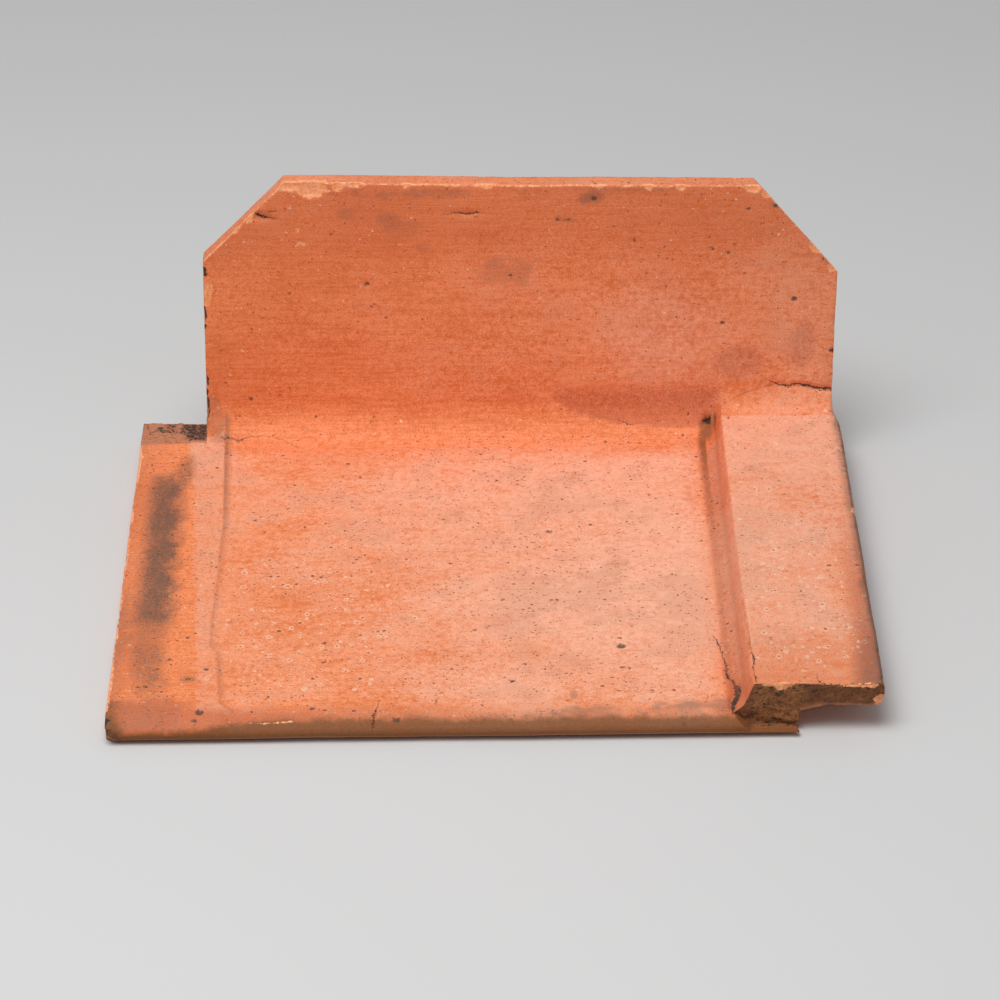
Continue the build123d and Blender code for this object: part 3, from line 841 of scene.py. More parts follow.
def surroundings(points, normals):
    """What the marks go by at every point: its place, the way it faces, noise of two sizes, and the
    parts of the tile that it belongs to, as shares from 0 to 1 or as yes and no."""
    x, y, z = points.T
    up, front = normals[:, 2], -normals[:, 1]
    broad = clay_noise(points, 48, 41) + 0.5 * clay_noise(points, 21, 42)
    small = clay_noise(points, 9, 43) + 0.6 * clay_noise(points, 3.6, 44)
    top = smooth((up - 0.2) * 3)
    floor = (y < WALL_Y - 2) & (z < 60)
    right_of = np.clip((x - pan_border(y)) / 1.2 + 0.5, 0, 1)
    on_strip = (1 - right_of) * floor * top
    band_left = np.interp(y, (28, 97, 139, 347), (52.6, 49.9, 47.1, 34.2)) + 1.3 * small
    band = smooth((x - band_left) / np.interp(y, (100, 300), (3, 9)) + 0.5) * on_strip * fade(y, 8, 20)
    low = (y < 26) & ((x < HOLLOW_START + END_SLANT + 2) | (z < NOSE_FOOT))
    # the underside just behind the nose's front counts as well, so that the darkening at the foot runs
    # under it as painted contact shadow
    low = low & ((up > -0.5) | (y < NOSE_UNDERCUT + 2))
    left = fade(x, 90, 30)
    return SimpleNamespace(
        points=points, normals=normals, up=up, front=front, broad=broad, small=small, top=top,
        floor=floor, on_strip=on_strip, on_pan=right_of * (x < STEP_TOP) * floor, band=band, low=low,
        on_flange=fade(x, STEP_TOP - 2, STEP_TOP + 1) * (z > 20) * (z < 60) * top,
        on_wall=(front > 0.1) & (y > WALL_Y - PAN_COVE) & (z > 16), wall_front=(front > 0.3) & (y > 340),
        in_notch=(x < WALL_LEFT + 0.1) & (y > NOTCH_Y - 3) & (up > 0.3),
        # the nose's darker foot: brown dirt, and painted shade of the foot that faces down to the floor
        nose_foot=0.97 * smooth((14.1 - 2.2 * left + 0.6 * small - z) / (4 + 3 * left)) * low)


def bloom_share(at):
    """Pale bloom. On the strip it is a band beside the pan. On the pan it grows to the right and
    fades at the nose, the step and the wall. On the flange it fades in front and at the outer edge,
    and on the wall to the left and upwards."""
    x, y, z = at.points.T
    pan = 0.27 + 0.43 * fade(x, 60, 300) + 0.12 * fade(y, 60, 120) * fade(x, 150, 230)
    pan += 0.14 * at.broad + 0.07 * at.small
    pan *= (1 - 0.85 * fade(y, 325, 365)) * (1 - 0.35 * fade(x, 349, 365))
    past = x - HOLLOW_START
    pan *= 1 - 0.55 * fade(past, -7, -1) + 0.2 * fade(past, 3, 6)
    pan += 0.07 * fade(y, 230, 290) * fade(x, 210, 150)
    pan *= 0.62 + 0.38 * smooth((y - 10) / 26 + 0.25 * at.small)
    pan -= 0.09 * fade(y, 130, 70)
    flange = 0.58 + 0.12 * at.broad + 0.1 * at.small - 0.3 * fade(y, 110, 20) + 0.12 * fade(y, 230, 320)
    flange *= 1 - 0.7 * fade(x, 430, 450) * fade(y, 250, 130)
    lying = (0.34 + 0.2 * fade(y, 300, 340)) * at.band + pan * at.on_pan + flange * at.on_flange
    wall = (0.06 + 0.19 * fade(x, 60, 390) + 0.05 * at.broad) * (1 - 0.7 * fade(z, 110, 170))
    wall += 0.1 * fade(x, SLAB_WIDTH - 20, SLAB_WIDTH - 6) * fade(z, 46, 40)
    wall *= 0.25 + 0.75 * np.maximum(fade(z, 22, 44), x > STEP_TOP)
    wall += 0.22 * smooth(1.5 - ellipse(x, z, 348, 82, 44, 34))
    on_top = 0.16 * fade(at.up, 0.4, 0.65) * (z > 100)
    return np.maximum(np.where(at.on_wall & (z > PAN_TOP + 6), np.maximum(wall, 0), lying), on_top)


def soot_share(at):
    """Soot: a stripe along the strip that is gone at both ends, its tail, a spot near the front,
    and the flange's outer side."""
    x, y, z = at.points.T
    centre = np.interp(y, (44, 80, 116, 145, 208, 291), (23.6, 20.4, 20.7, 22.0, 22.2, 20.8))
    across = np.abs(x - centre - 1.2 * at.small) / np.interp(y, (30, 120, 300), (8, 9.6, 8.4))
    along = np.interp(y, (22, 45, 80, 96, 112, 128, 285, 306, 318),
                      (0, 0.45, 0.58, 0.36, 0.45, 1, 1, 0.75, 0))
    side = smooth((at.normals[:, 0] - 0.15) * 3) * (z > 17) * (z < 32) * (x > STEP_TOP)
    return np.maximum.reduce([
        smooth(1.18 - 0.62 * across + 0.12 * at.small) * (0.98 + 0.1 * at.small) * along * at.on_strip,
        0.55 * smooth(1.4 - ellipse(x - 0.1 * (y - 312), y, 31, 312, 7, 26)) * at.on_strip,
        0.4 * smooth(1.5 - ellipse(x, y, 46.7, 50.7, 5, 4)) * at.on_strip,
        (0.62 + 0.2 * at.small) * side,
    ])


def nose_smoke(at):
    """Smoke along the nose, as strong and as far back from its foremost line as the table says."""
    x, y, z = at.points.T
    along, strength, reach = zip(*NOSE_SMOKE)
    back = y - front_line(x)
    near = smooth((np.interp(x, along, reach) - back + 4.0 * at.small + 2 * at.broad) / 9)
    clouds = smooth(1.05 + at.broad + 0.6 * at.small)
    whole = (back < 40) & ((x < HOLLOW_START + 2) | (y < END_Y - 0.5))
    return near * fade(z, 2, 5) * np.interp(x, along, strength) * clouds * whole


def smoke_and_shade_share(at):
    """Grey smoke: along the nose, at the strip's front and left edge, in spots on the pan, up the step,
    along the flange's outer edge, and in patches and towards the top on the wall; and painted shade on
    the pan's slope beside the strip, as the shadow of its border. It is thinner where the nose's foot is
    darkened by dirt and painted shade."""
    x, y, z = at.points.T
    small, past_border = at.small, x - pan_border(y)
    fade_from = np.interp(y, (0, 60, 150, 250), (424, 431, 437, 441))
    edge = np.interp(y, (0, 60, 150, 250, 389), (0.72, 0.66, 0.47, 0.4, 0.48))
    rim = np.interp(y, (0, 60, 150, 250, 330, 389), (0.85, 0.85, 0.75, 0.6, 0.6, 0.8))
    border_shade = np.interp(y, (0, 60, 110, 200, 290, 350), (0.3, 0.35, 0.3, 0.3, 0.55, 0.6))
    grime = np.interp(y, (0, 40, 80, 130, 170), (0.5, 0.35, 0.45, 0.5, 0.25))
    step = fade(x, HOLLOW_START - 5, HOLLOW_START) * fade(x, STEP_TOP - 1, STEP_TOP - 5)
    lying = np.maximum.reduce([
        nose_smoke(at),
        0.4 * smooth((34 - y + 3 * small) / 16) * fade(x, 62, 32) * (z > 9) * (y < 50),
        edge * smooth((x - fade_from + 2 * small) / 26) * at.on_flange,
        rim * smooth((x - 449 + 1.5 * small) / 7) * at.on_flange,
        0.5 * smooth(1.4 - ellipse(x, y, 275.5, 31.8, 3.2, 7) + 0.2 * small) * at.on_pan,
        0.22 * smooth(1.4 - ellipse(x, y, 250, 84, 14, 16) + 0.4 * small) * at.on_pan,
        # painted shade: the pan's slope right of the strip's border, darkest at the border
        border_shade * smooth(1.1 - past_border / 7) * (past_border > 0) * at.on_pan,
        (0.12 + 0.1 * fade(y, 110, 20)) * at.on_flange,
        0.14 * at.band,
        0.31 * step * (z < 29) * (y < 345),
        grime * smooth((13 - x - 4 * small) / 9) * at.on_strip,
        0.25 * fade(y, 26, 14) * at.low,
    ])
    on_wall = [np.where(at.on_wall, (0.12 + 0.04 * small) * fade(z, 95, 180), 0)]
    for middle_x, middle_z, half_x, half_z, share in GREY_PATCHES:
        inner = 1.2 - 1.2 * ellipse(x, z, middle_x, middle_z, half_x, half_z)
        on_wall.append(share * smooth(inner + 0.6 * small + 0.35 * at.broad) * at.wall_front)
    return np.maximum.reduce([lying * (1 - 0.7 * at.nose_foot), *on_wall])


def dirt_and_shade_share(at):
    """Dark dirt and painted shade: dirt with painted shade on the foot of the nose and its underside rim,
    dirt round the left front corner, painted shade with dirt in the valley along the step, painted
    shade in the corner where the step meets the wall, and dirt in the corner at the wall's left foot."""
    x, y, z = at.points.T
    along_valley = np.interp(y, (0, 60, 200, 290, 330, 362), (0.1, 0.14, 0.16, 0.34, 0.6, 0.75))
    step_corner = np.linalg.norm((at.points - (372, 365, 21)) / (7, 13, 9), axis=1)
    return np.maximum.reduce([
        # dirt and painted shade at the nose's foot and underside rim
        at.nose_foot,
        smooth(1.6 - np.hypot(x, z - 4) / 11) * at.low,
        # painted shade with dirt in the valley, darker towards the wall
        valley_share(x, y, at.small) * at.floor * along_valley,
        # painted shade in the corner where the step meets the wall
        0.7 * smooth(1.3 - step_corner + 0.5 * at.small),
        0.4 * smooth(1.4 - ellipse(x, y, 52, 362, 8, 8)) * (z < 40),
    ])


def tar_share(at):
    """Black marks: in the notch, bitten into the wall's left end, at the left front corner and in
    the hole at the step's back end."""
    x, y, z = at.points.T
    small = at.small
    end_line = path_gap(at.points, ((WALL_LEFT, WALL_Y, 18), (WALL_LEFT, WALL_Y, 137)))
    bitten = [smooth(1.3 - np.abs(z - middle) / half + 0.4 * small) for middle, half in END_BLACK]
    hole = np.linalg.norm(at.points - STEP_HOLE[:3], axis=1) / STEP_HOLE[3]
    return np.maximum.reduce([
        0.62 * smooth((x - 19 - 5 * small) / 12) * fade(y, 357, 364) * at.in_notch,
        0.55 * fade(y, 366, 376) * at.in_notch * smooth(0.5 + small),
        smooth(1.4 - end_line / 2.6 + 0.5 * small) * np.maximum.reduce(bitten),
        0.88 * smooth(1.3 - path_gap(at.points, CORNER_BLACK) / 3 + 0.7 * small),
        smooth(1.3 - hole + 0.2 * small),
    ])


def ruddy_share(at):
    """Where the clay kept its deep red: smeared and finger-pressed places on the wall, its upper
    part and top, the nose and its left end, the step, the flange and its front end, and the strip's
    left edge. In the valley at the step's foot the deep red is painted shade of the hollow."""
    x, y, z = at.points.T
    small, top = at.small, at.top
    step = fade(x, HOLLOW_START - 3, HOLLOW_START + 1) * fade(x, STEP_TOP + 0.4, STEP_TOP - 1.1)
    along_nose = 0.7 - 0.2 * fade(x, 70, 110) - 0.25 * fade(x, 200, 260)
    return np.maximum.reduce([
        0.9 * smear_share(x, z) * at.on_wall,
        0.95 * smooth(1.5 - 1.3 * ellipse(x, z, 393, 62, 21, 16)) * at.wall_front,
        0.95 * smooth(1.8 - 1.7 * ellipse(x, z, 434, 76, 11, 22)) * at.wall_front,
        (0.54 * fade(z, 80, 170) + 0.08 * at.broad) * (y > 372),
        0.5 * fade(at.up, 0.4, 0.65) * (z > 100),
        0.95 * smooth((62 - x + 6 * small) / 24) * smooth((34 - y + 4 * small) / 16),
        0.85 * fade(x, 190, 100) * fade(y, 18, 12) * (z > 7),
        along_nose * fade(y, 27, 14) * (x < STEP_FOOT + 5),
        0.75 * step * (y < 372),
        # painted shade in the valley at the step's foot
        valley_share(x, y, small) * (z < 30) * fade(y, 14, 24),
        0.3 * (x > STEP_TOP) * (y < WALL_Y - 12) * top,
        0.8 * fade(x, 430, 450) * fade(y, 300, 180) * (y > END_Y + 1) * top,
        fade(x, SLAB_WIDTH - 10, SLAB_WIDTH + 12) * (y < END_Y + 1) * (z > STRIP_TOP),
        0.35 * fade(x, 26, 12) * (y < NOTCH_Y) * top,
    ])


def inside_bare(at, chipped):
    """Distance inside the places where fresh clay shows: chips, the wall's upper edges, the torn
    end's upper edge, dots rubbed on the nose and the strip's left edge."""
    torn_edge = np.minimum.reduce([path_gap(at.points, path) for path in TORN_EDGES])
    return np.maximum.reduce([
        chipped,
        0.5 - path_gap(at.points, WALL_TOP_EDGE) + 0.55 * at.small,
        0.9 - torn_edge + 0.8 * at.small,
        0.1 - path_gap(at.points, NOSE_RUB) + 0.7 * at.small,
        0.7 - path_gap(at.points, STRIP_EDGE) + 1.3 * at.small,
    ])


def inside_pits(at):
    """Distance inside the outline of the nearest pit, an ellipse that is a quarter wider than it
    is long."""
    x, y, z = at.points.T
    marks = []
    tables = ((FLOOR_PITS, 0.72, y, at.up > 0.3), (WALL_PITS, 0.6, z, at.wall_front))
    for pits, share, along, seen in tables:
        for middle_x, middle, radius, _ in pits:
            inner = share * radius - np.hypot((x - middle_x) * 0.8, along - middle)
            marks.append(np.where(seen, inner, OUTSIDE))
    return np.maximum.reduce(marks)


def crack_lines(at):
    """Distance from the nearest crack, with a sign for the side, and the crack's width there, which
    falls to nought by a smooth step 3 mm away."""
    off_line, line_width = np.full(len(at.points), 6.0), np.zeros(len(at.points))
    for facing, path in CRACKS:
        far, side, width, deep = beside(at.points, path, facing)
        near = (np.abs(deep) < 6) & (at.normals @ np.array(facing, float) > 0.15) & (far < np.abs(off_line))
        off_line = np.where(near, far * side, off_line)
        line_width = np.where(near, width * fade(far, 3.0, 2.2), line_width)
    return off_line, line_width


def speck_share(at):
    """How thickly flecks lie: few on the wall, and on the floor by a curve across x, thinner at the
    left back and at the nose."""
    x, y, _ = at.points.T
    across = np.interp(x, (0, 42, 50, 66, 130, 320, HOLLOW_START, HOLLOW_START + 0.8, 373.5, 375),
                       (2.2, 2.0, 0.8, 0.95, 1.25, 1.25, 1.1, 1.4, 1.4, 0.5))
    share = np.where(at.on_wall, 0.18, 0.9) * smooth((at.up + at.front) * 2)
    share *= np.where(y < WALL_Y - 20, across, 1)
    share *= 1 - 0.45 * fade(y, 240, 300) * fade(x, 250, 170) * (x > 62) * (1 - at.on_wall)
    return share * (0.4 + 0.6 * fade(y, 8, 28))


def ring_share(at):
    """Where flecks have pale rings: a patch on the pan's left, a long one on the flange and a few
    on the rest of it."""
    x, y, _ = at.points.T
    pan = 0.5 * smooth(1.6 - ellipse(x, y, 120, 110, 60, 75))
    flange = 0.75 * smooth(1.5 - ellipse(x, y, 412, 110, 32, 125)) + 0.12 * (x > STEP_TOP)
    return (pan + flange) * fade(y, 24, 34) * smooth((at.up - 0.6) * 4)


def stains(points, normals, chipped):
    """Values for the finish at every point, by name: shares from 0 to 1, and for marks with a
    crisp line the distance from that line in millimetres, above 0 inside."""
    at = surroundings(points, normals)
    x, y, z = points.T
    torn = (x > HOLLOW_START - 0.3) & (y < END_Y + 0.2) & (y > 8.5) & ((at.front > 0.5) | (z < 6))
    torn = torn | (np.linalg.norm(points - (0, 0, 2), axis=1) < 9)
    left_end = (normals[:, 0] < -0.7) & (x < WALL_LEFT + 2)
    off_line, line_width = crack_lines(at)
    # smoke and dirt also carry painted shade: beside the strip's border, at the nose's foot, in the valley
    # and in the step's corner
    values = {
        "bloom": bloom_share(at), "soot": soot_share(at), "smoke": smoke_and_shade_share(at), "dirt": dirt_and_shade_share(at),
        "tar": tar_share(at), "ruddy": ruddy_share(at),
        "notch": at.in_notch * smooth((y - NOTCH_Y + 3 - 3.9 * x / WALL_LEFT) / 2.5),
        "torn": torn, "hidden": (at.front < -0.6) | (at.up < -0.6) | left_end, "rings": ring_share(at),
    }
    values = {name: np.clip(value, 0, 1) for name, value in values.items()}
    values.update(bare=np.clip(inside_bare(at, chipped), -3, 3), pit=np.clip(inside_pits(at), -3, 3),
                  specked=speck_share(at), crack=off_line, crack_width=line_width)
    return values


# Colours of the clay and of what lies on it, linear red, green and blue
CLAY_DEEP = (0.76, 0.195, 0.058, 1)
CLAY_LIGHT = (0.94, 0.290, 0.110, 1)
RUDDY = (0.56, 0.130, 0.052, 1)
BLOOM = (0.93, 0.470, 0.315, 1)
FRESH_CLAY = (0.93, 0.310, 0.105, 1)
FRESH_PALE = (0.96, 0.480, 0.270, 1)
RED_BLOTCH = (0.62, 0.150, 0.055, 1)
BROWN_SPECK = (0.36, 0.066, 0.018, 1)
DARK_SPECK = (0.13, 0.033, 0.011, 1)
PIT_SHADE = (0.075, 0.040, 0.027, 1)
PALE_SPECK = (0.95, 0.62, 0.44, 1)
TAN_CLOUD = (0.70, 0.330, 0.200, 1)
# grey smoke, and also painted shade on the pan's slope beside the strip's border
SMOKE_AND_SHADE = (0.165, 0.088, 0.060, 1)
# brown dirt, and also painted shade at the nose's foot and underside rim, in the valley along the step and
# in the corner where the step meets the wall
DIRT_AND_SHADE = (0.18, 0.057, 0.006, 1)
SOOT = (0.110, 0.068, 0.048, 1)
TAR = (0.022, 0.018, 0.015, 1)
TORN_CLAY = (0.28, 0.105, 0.034, 1)
TORN_RED = (0.115, 0.034, 0.012, 1)
TORN_DEEP = (0.045, 0.019, 0.007, 1)
TORN_GRAIN = (0.46, 0.175, 0.060, 1)
NOTCH_CLAY = (0.56, 0.215, 0.120, 1)
DUSTY_BACK = (0.60, 0.235, 0.110, 1)


class Output:
    """One output of a shader node. Sums, differences and products of outputs and numbers are
    written as such, and each adds a Math node to the tree."""

    def __init__(self, socket):
        self.socket = socket
        self.tree = socket.id_data

    def __add__(self, other):
        return calc("ADD", self, other)

    def __sub__(self, other):
        return calc("SUBTRACT", self, other)

    def __rsub__(self, other):
        return calc("SUBTRACT", other, self)

    def __mul__(self, other):
        return calc("MULTIPLY", self, other)

    __rmul__ = __mul__


def add(tree, kind, *feeds, **settings):
    """One shader node. Each feed is an input's name or number and a value or an output for it."""
    made = tree.nodes.new("ShaderNode" + kind)
    for name, value in settings.items():
        setattr(made, name, value)
    for key, value in feeds:
        if isinstance(value, Output):
            tree.links.new(value.socket, made.inputs[key])
        else:
            made.inputs[key].default_value = value
    return made


def result(tree, kind, *feeds, **settings):
    """First output of one shader node."""
    return Output(add(tree, kind, *feeds, **settings).outputs[0])


def calc(operation, *values):
    """Result of one Math node on outputs and numbers."""
    trees = [value.tree for value in values if isinstance(value, Output)]
    return result(trees[0], "Math", *enumerate(values), operation=operation)


def shifted(operation, at, by):
    """Vectors added to, subtracted from or multiplied by others, part by part."""
    return result(at.tree, "VectorMath", (0, at), (1, by), operation=operation)


def squeezed(at, stretch):
    """Places with x multiplied by a stretch."""
    return shifted("MULTIPLY", at, result(at.tree, "CombineXYZ", (0, stretch), (1, 1.0), (2, 1.0)))


def step_up(value, low, high):
    """Smooth step of a value from 0 at low to 1 at high, or down where low is the higher."""
    return result(value.tree, "MapRange", (0, value), (1, low), (2, high), interpolation_type="SMOOTHSTEP")


def tinted(share, under, over):
    """Colour under with a share of colour over it."""
    return Output(add(share.tree, "Mix", (0, share), (6, under), (7, over), data_type="RGBA").outputs[2])


def grain(at, per_metre, detail=2.0, rough=0.5):
    """Cloudy noise with so many cells to the metre."""
    return result(at.tree, "TexNoise", ("Vector", at), ("Scale", per_metre), ("Detail", detail),
                  ("Roughness", rough))


def effect(name, takes, gives):
    """Empty node group with named inputs and their starting values, and named outputs: the group's
    tree, its inputs by name, and the sockets that its results go to."""
    tree = bpy.data.node_groups.new(name, "ShaderNodeTree")
    for title, start in takes:
        kind = "NodeSocketVector" if start is None else "NodeSocketFloat"
        socket = tree.interface.new_socket(title, in_out="INPUT", socket_type=kind)
        if start is not None:
            socket.default_value = start
    for title in gives:
        tree.interface.new_socket(title, in_out="OUTPUT", socket_type="NodeSocketFloat")
    inputs = {socket.name: Output(socket) for socket in tree.nodes.new("NodeGroupInput").outputs}
    return tree, inputs, tree.nodes.new("NodeGroupOutput").inputs


def flecks_effect():
    """Scattered flecks: in a share of the cells of a scatter, a spot of uneven size round the
    cell's middle, and the ring just outside it."""
    tree, takes, gives = effect("scattered_flecks", (
        ("Vector", None), ("Per Metre", 160.0), ("Kept", 0.2), ("Size", 0.15), ("Stretch", 0.55)),
        ("Spot", "Ring"))
    at = squeezed(takes["Vector"], takes["Stretch"])
    cells = add(tree, "TexVoronoi", ("Vector", at), ("Scale", takes["Per Metre"]))
    chance = add(tree, "SeparateColor", (0, Output(cells.outputs["Color"])))
    kept = calc("LESS_THAN", Output(chance.outputs[0]), takes["Kept"])
    uneven = calc("MULTIPLY_ADD", calc("POWER", Output(chance.outputs[1]), 2.2), 1.6, 0.28)
    share = calc("DIVIDE", Output(cells.outputs["Distance"]), takes["Size"] * uneven)
    spot = step_up(share, 1.1, 0.6) * kept
    ring = step_up(share, 2.1, 1.5) * step_up(share, 0.8, 1.2) * kept
    tree.links.new(spot.socket, gives["Spot"])
    tree.links.new(ring.socket, gives["Ring"])


def broken_effect():
    """A soft mask broken up into grains: a swing of noise is added to it, and a smooth step round
    one half cuts the sum."""
    tree, takes, gives = effect("broken_mask", (
        ("Mask", 0.5), ("Noise", 0.5), ("Amount", 0.6), ("Softness", 0.25)), ("Mask",))
    swing = (takes["Noise"] - 0.5) * takes["Amount"]
    value = takes["Mask"] + swing * 2.0
    cut = step_up(value, 0.5 - takes["Softness"], takes["Softness"] + 0.5)
    tree.links.new((cut * step_up(takes["Mask"], 0.0, 0.2)).socket, gives["Mask"])


def ragged_effect():
    """A mark with a crisp but uneven line: the distance inside it, in millimetres, is shifted by
    a swing of noise and cut at nought by a smooth step."""
    tree, takes, gives = effect("ragged_line", (
        ("Inside", 0.0), ("Noise", 0.5), ("Wobble", 0.5), ("Softness", 0.2)), ("Mask",))
    swing = (takes["Noise"] - 0.5) * takes["Wobble"]
    value = takes["Inside"] + swing * 3.0
    tree.links.new(step_up(value, takes["Softness"] * -1.0, takes["Softness"]).socket, gives["Mask"])


def drag_effect():
    """Drag lines: noise drawn out along x, from 0 to 1."""
    tree, takes, gives = effect("drag_lines", (
        ("Vector", None), ("Per Metre", 300.0), ("Stretch", 0.06)), ("Value",))
    lines = grain(squeezed(takes["Vector"], takes["Stretch"]), takes["Per Metre"], 2.0, 0.65)
    tree.links.new(lines.socket, gives["Value"])


def use(name, *feeds):
    """The outputs of one effect, fed with these values."""
    made = add(feeds[0][1].tree, "Group", *feeds, node_tree=bpy.data.node_groups[name])
    return [Output(socket) for socket in made.outputs]


def flecks(at, per_metre, kept, size, stretch):
    """Spots and rings of scattered flecks."""
    return use("scattered_flecks", ("Vector", at), ("Per Metre", per_metre), ("Kept", kept),
               ("Size", size), ("Stretch", stretch))


def broken_up(mask, noise, amount, softness):
    """A mask broken up into grains."""
    return use("broken_mask", ("Mask", mask), ("Noise", noise), ("Amount", amount),
               ("Softness", softness))[0]


def ragged(inside, noise, wobble, softness=0.2):
    """A mark cut at its uneven line."""
    return use("ragged_line", ("Inside", inside), ("Noise", noise), ("Wobble", wobble),
               ("Softness", softness))[0]


def dragged(at, per_metre, stretch):
    """Drag lines, so many to the metre."""
    return use("drag_lines", ("Vector", at), ("Per Metre", per_metre), ("Stretch", stretch))[0]


def shared_noise(at):
    """Noise of several sizes, drag lines and lumps that the layers share, and places bent a little
    so that flecks aren't round."""
    bend = Output(add(at.tree, "TexNoise", ("Vector", at), ("Scale", 600.0), ("Detail", 1.0)).outputs[1])
    bend = shifted("MULTIPLY", shifted("SUBTRACT", bend, (0.5, 0.5, 0.5)), (0.0034, 0.0022, 0.0022))
    noise = SimpleNamespace(
        wide=grain(at, 11.0), mid=grain(at, 42.0, 4.0, 0.65), small=grain(at, 260.0, 3.0, 0.65),
        fine=grain(at, 1000.0, 2.0, 0.6), crumbs=grain(at, 420.0, 3.0, 0.75),
        lines=dragged(at, 520.0, 0.06), bands=dragged(at, 75.0, 0.12), bent=shifted("ADD", at, bend))
    slanted = result(at.tree, "VectorRotate", ("Vector", at), ("Angle", radians(12)),
                     rotation_type="Y_AXIS")
    noise.uneven = 0.6 * noise.small + 0.4 * noise.fine
    noise.lumps = (0.35 * noise.crumbs + 0.2 * noise.small + 0.2 * noise.fine
                   + 0.25 * dragged(slanted, 520.0, 0.2))
    return noise


def bloomed(colour, noise, marks, skin):
    """Bloom in clouds and grains, tan clouds in it, red blotches, and dashes along the drag lines."""
    clouds = 0.7 * noise.mid + 0.7 * noise.wide + 0.85 * noise.small + 0.3 * noise.bands - 1.275
    bloom = broken_up(marks.bloom + clouds * step_up(marks.bloom, -0.08, 0.5), noise.fine, 0.3, 0.62)
    colour = tinted(bloom, colour, BLOOM)
    cloud = step_up(0.5 * noise.wide + 0.5 * noise.mid, 0.50, 0.60) * bloom
    colour = tinted(0.5 * cloud, colour, TAN_CLOUD)
    blotch = step_up(0.5 * noise.small + 0.5 * noise.mid, 0.53, 0.64)
    blotch = blotch * (skin * (0.24 * step_up(marks.specked, 0.15, 0.5) + 0.18))
    colour = tinted(blotch, colour, RED_BLOTCH)
    colour = tinted(0.35 * (step_up(noise.lines, 0.60, 0.74) * skin), colour, RUDDY)
    return tinted(0.2 * (step_up(noise.lines, 0.36, 0.24) * skin), colour, BLOOM)


def flecked(colour, noise, marks, skin):
    """Flecks in clumps: brown specks, pale ones, dark ones with pale rings, and rings of their own."""
    clumps = calc("MULTIPLY_ADD", step_up(noise.mid, 0.45, 0.62), 1.5, 0.25)
    kept = marks.specked * skin * clumps
    brown = flecks(noise.bent, 500.0, kept, 0.26, 1.1)
    colour = tinted(0.72 * brown[0], colour, BROWN_SPECK)
    pale = flecks(noise.bent, 300.0, 0.3 * marks.rings + 0.2 * kept + 0.15, 0.14, 1.2)
    colour = tinted(0.75 * pale[0], colour, PALE_SPECK)
    dark, halo = flecks(noise.bent, 190.0, 0.55 * kept, 0.17, 1.25)
    colour = tinted(0.45 * (halo * (marks.rings + 0.12)), colour, PALE_SPECK)
    colour = tinted(0.8 * dark, colour, tinted(noise.small, BROWN_SPECK, DARK_SPECK))
    core, ring = flecks(noise.bent, 175.0, marks.rings, 0.14, 1.3)
    colour = tinted(0.62 * ring, colour, PALE_SPECK)
    return tinted(0.45 * core, colour, BROWN_SPECK)


def smoked_and_shaded(colour, noise, marks):
    """Smoke and dirt, both with painted shade in places, and soot, and then an unevenness of value over all
    of the skin.
    """
    streaks = 0.6 * noise.small + 0.25 * noise.fine + 0.15 * noise.lines
    # painted shade comes with the smoke beside the strip's border, and with the dirt at the nose's foot, in
    # the valley and in the step's corner
    colour = tinted(0.8 * broken_up(marks.smoke, streaks, 0.7, 0.48), colour, SMOKE_AND_SHADE)
    colour = tinted(0.9 * broken_up(marks.dirt, noise.small, 0.35, 0.5), colour, DIRT_AND_SHADE)
    sooty = 0.7 * noise.fine + 0.3 * noise.small
    colour = tinted(0.9 * broken_up(marks.soot, sooty, 1.6, 0.7), colour, SOOT)
    value = 0.42 * noise.fine + 0.3 * noise.small + 0.64
    return result(value.tree, "HueSaturation", ("Saturation", 1.3 - 0.3 * value), ("Value", value),
                  ("Color", colour))


def broken(colour, noise, marks, ruddy):
    """Broken clay at the torn end and in the notch, and fresh clay where the skin is off."""
    torn = tinted(step_up(noise.lumps, 0.41, 0.50), TORN_DEEP, TORN_CLAY)
    torn = tinted(step_up(noise.lumps, 0.51, 0.62), torn, TORN_GRAIN)
    colour = tinted(marks.torn, colour, tinted(0.55 * ruddy, torn, TORN_RED))
    notch = tinted(step_up(noise.crumbs, 0.34, 0.5), TORN_CLAY, NOTCH_CLAY)
    colour = tinted(0.9 * marks.notch, colour, notch)
    bare = ragged(marks.bare, noise.crumbs, 1.3) * (1.0 - marks.notch)
    fresh = tinted(step_up(noise.crumbs, 0.42, 0.62), FRESH_CLAY, FRESH_PALE)
    return tinted(0.85 * bare, colour, fresh)


def cracked(colour, noise, marks):
    """Shade in pits and cracks. A crack's line swings with the noise, and thin cracks are fainter."""
    pit = ragged(marks.pit, noise.uneven, 2.2, 0.4)
    colour = tinted(0.85 * pit, colour, PIT_SHADE)
    off_line = calc("ABSOLUTE", marks.crack + 7.5 * (noise.uneven - 0.5))
    crack = ragged(0.5 * marks.crack_width - off_line, noise.fine, 0.7, 0.18)
    crack = crack * step_up(marks.crack_width, 0.02, 0.85)
    crack = crack * (0.28 * step_up(noise.uneven, 0.42, 0.52) + 0.68)
    return tinted(crack, colour, TAR)


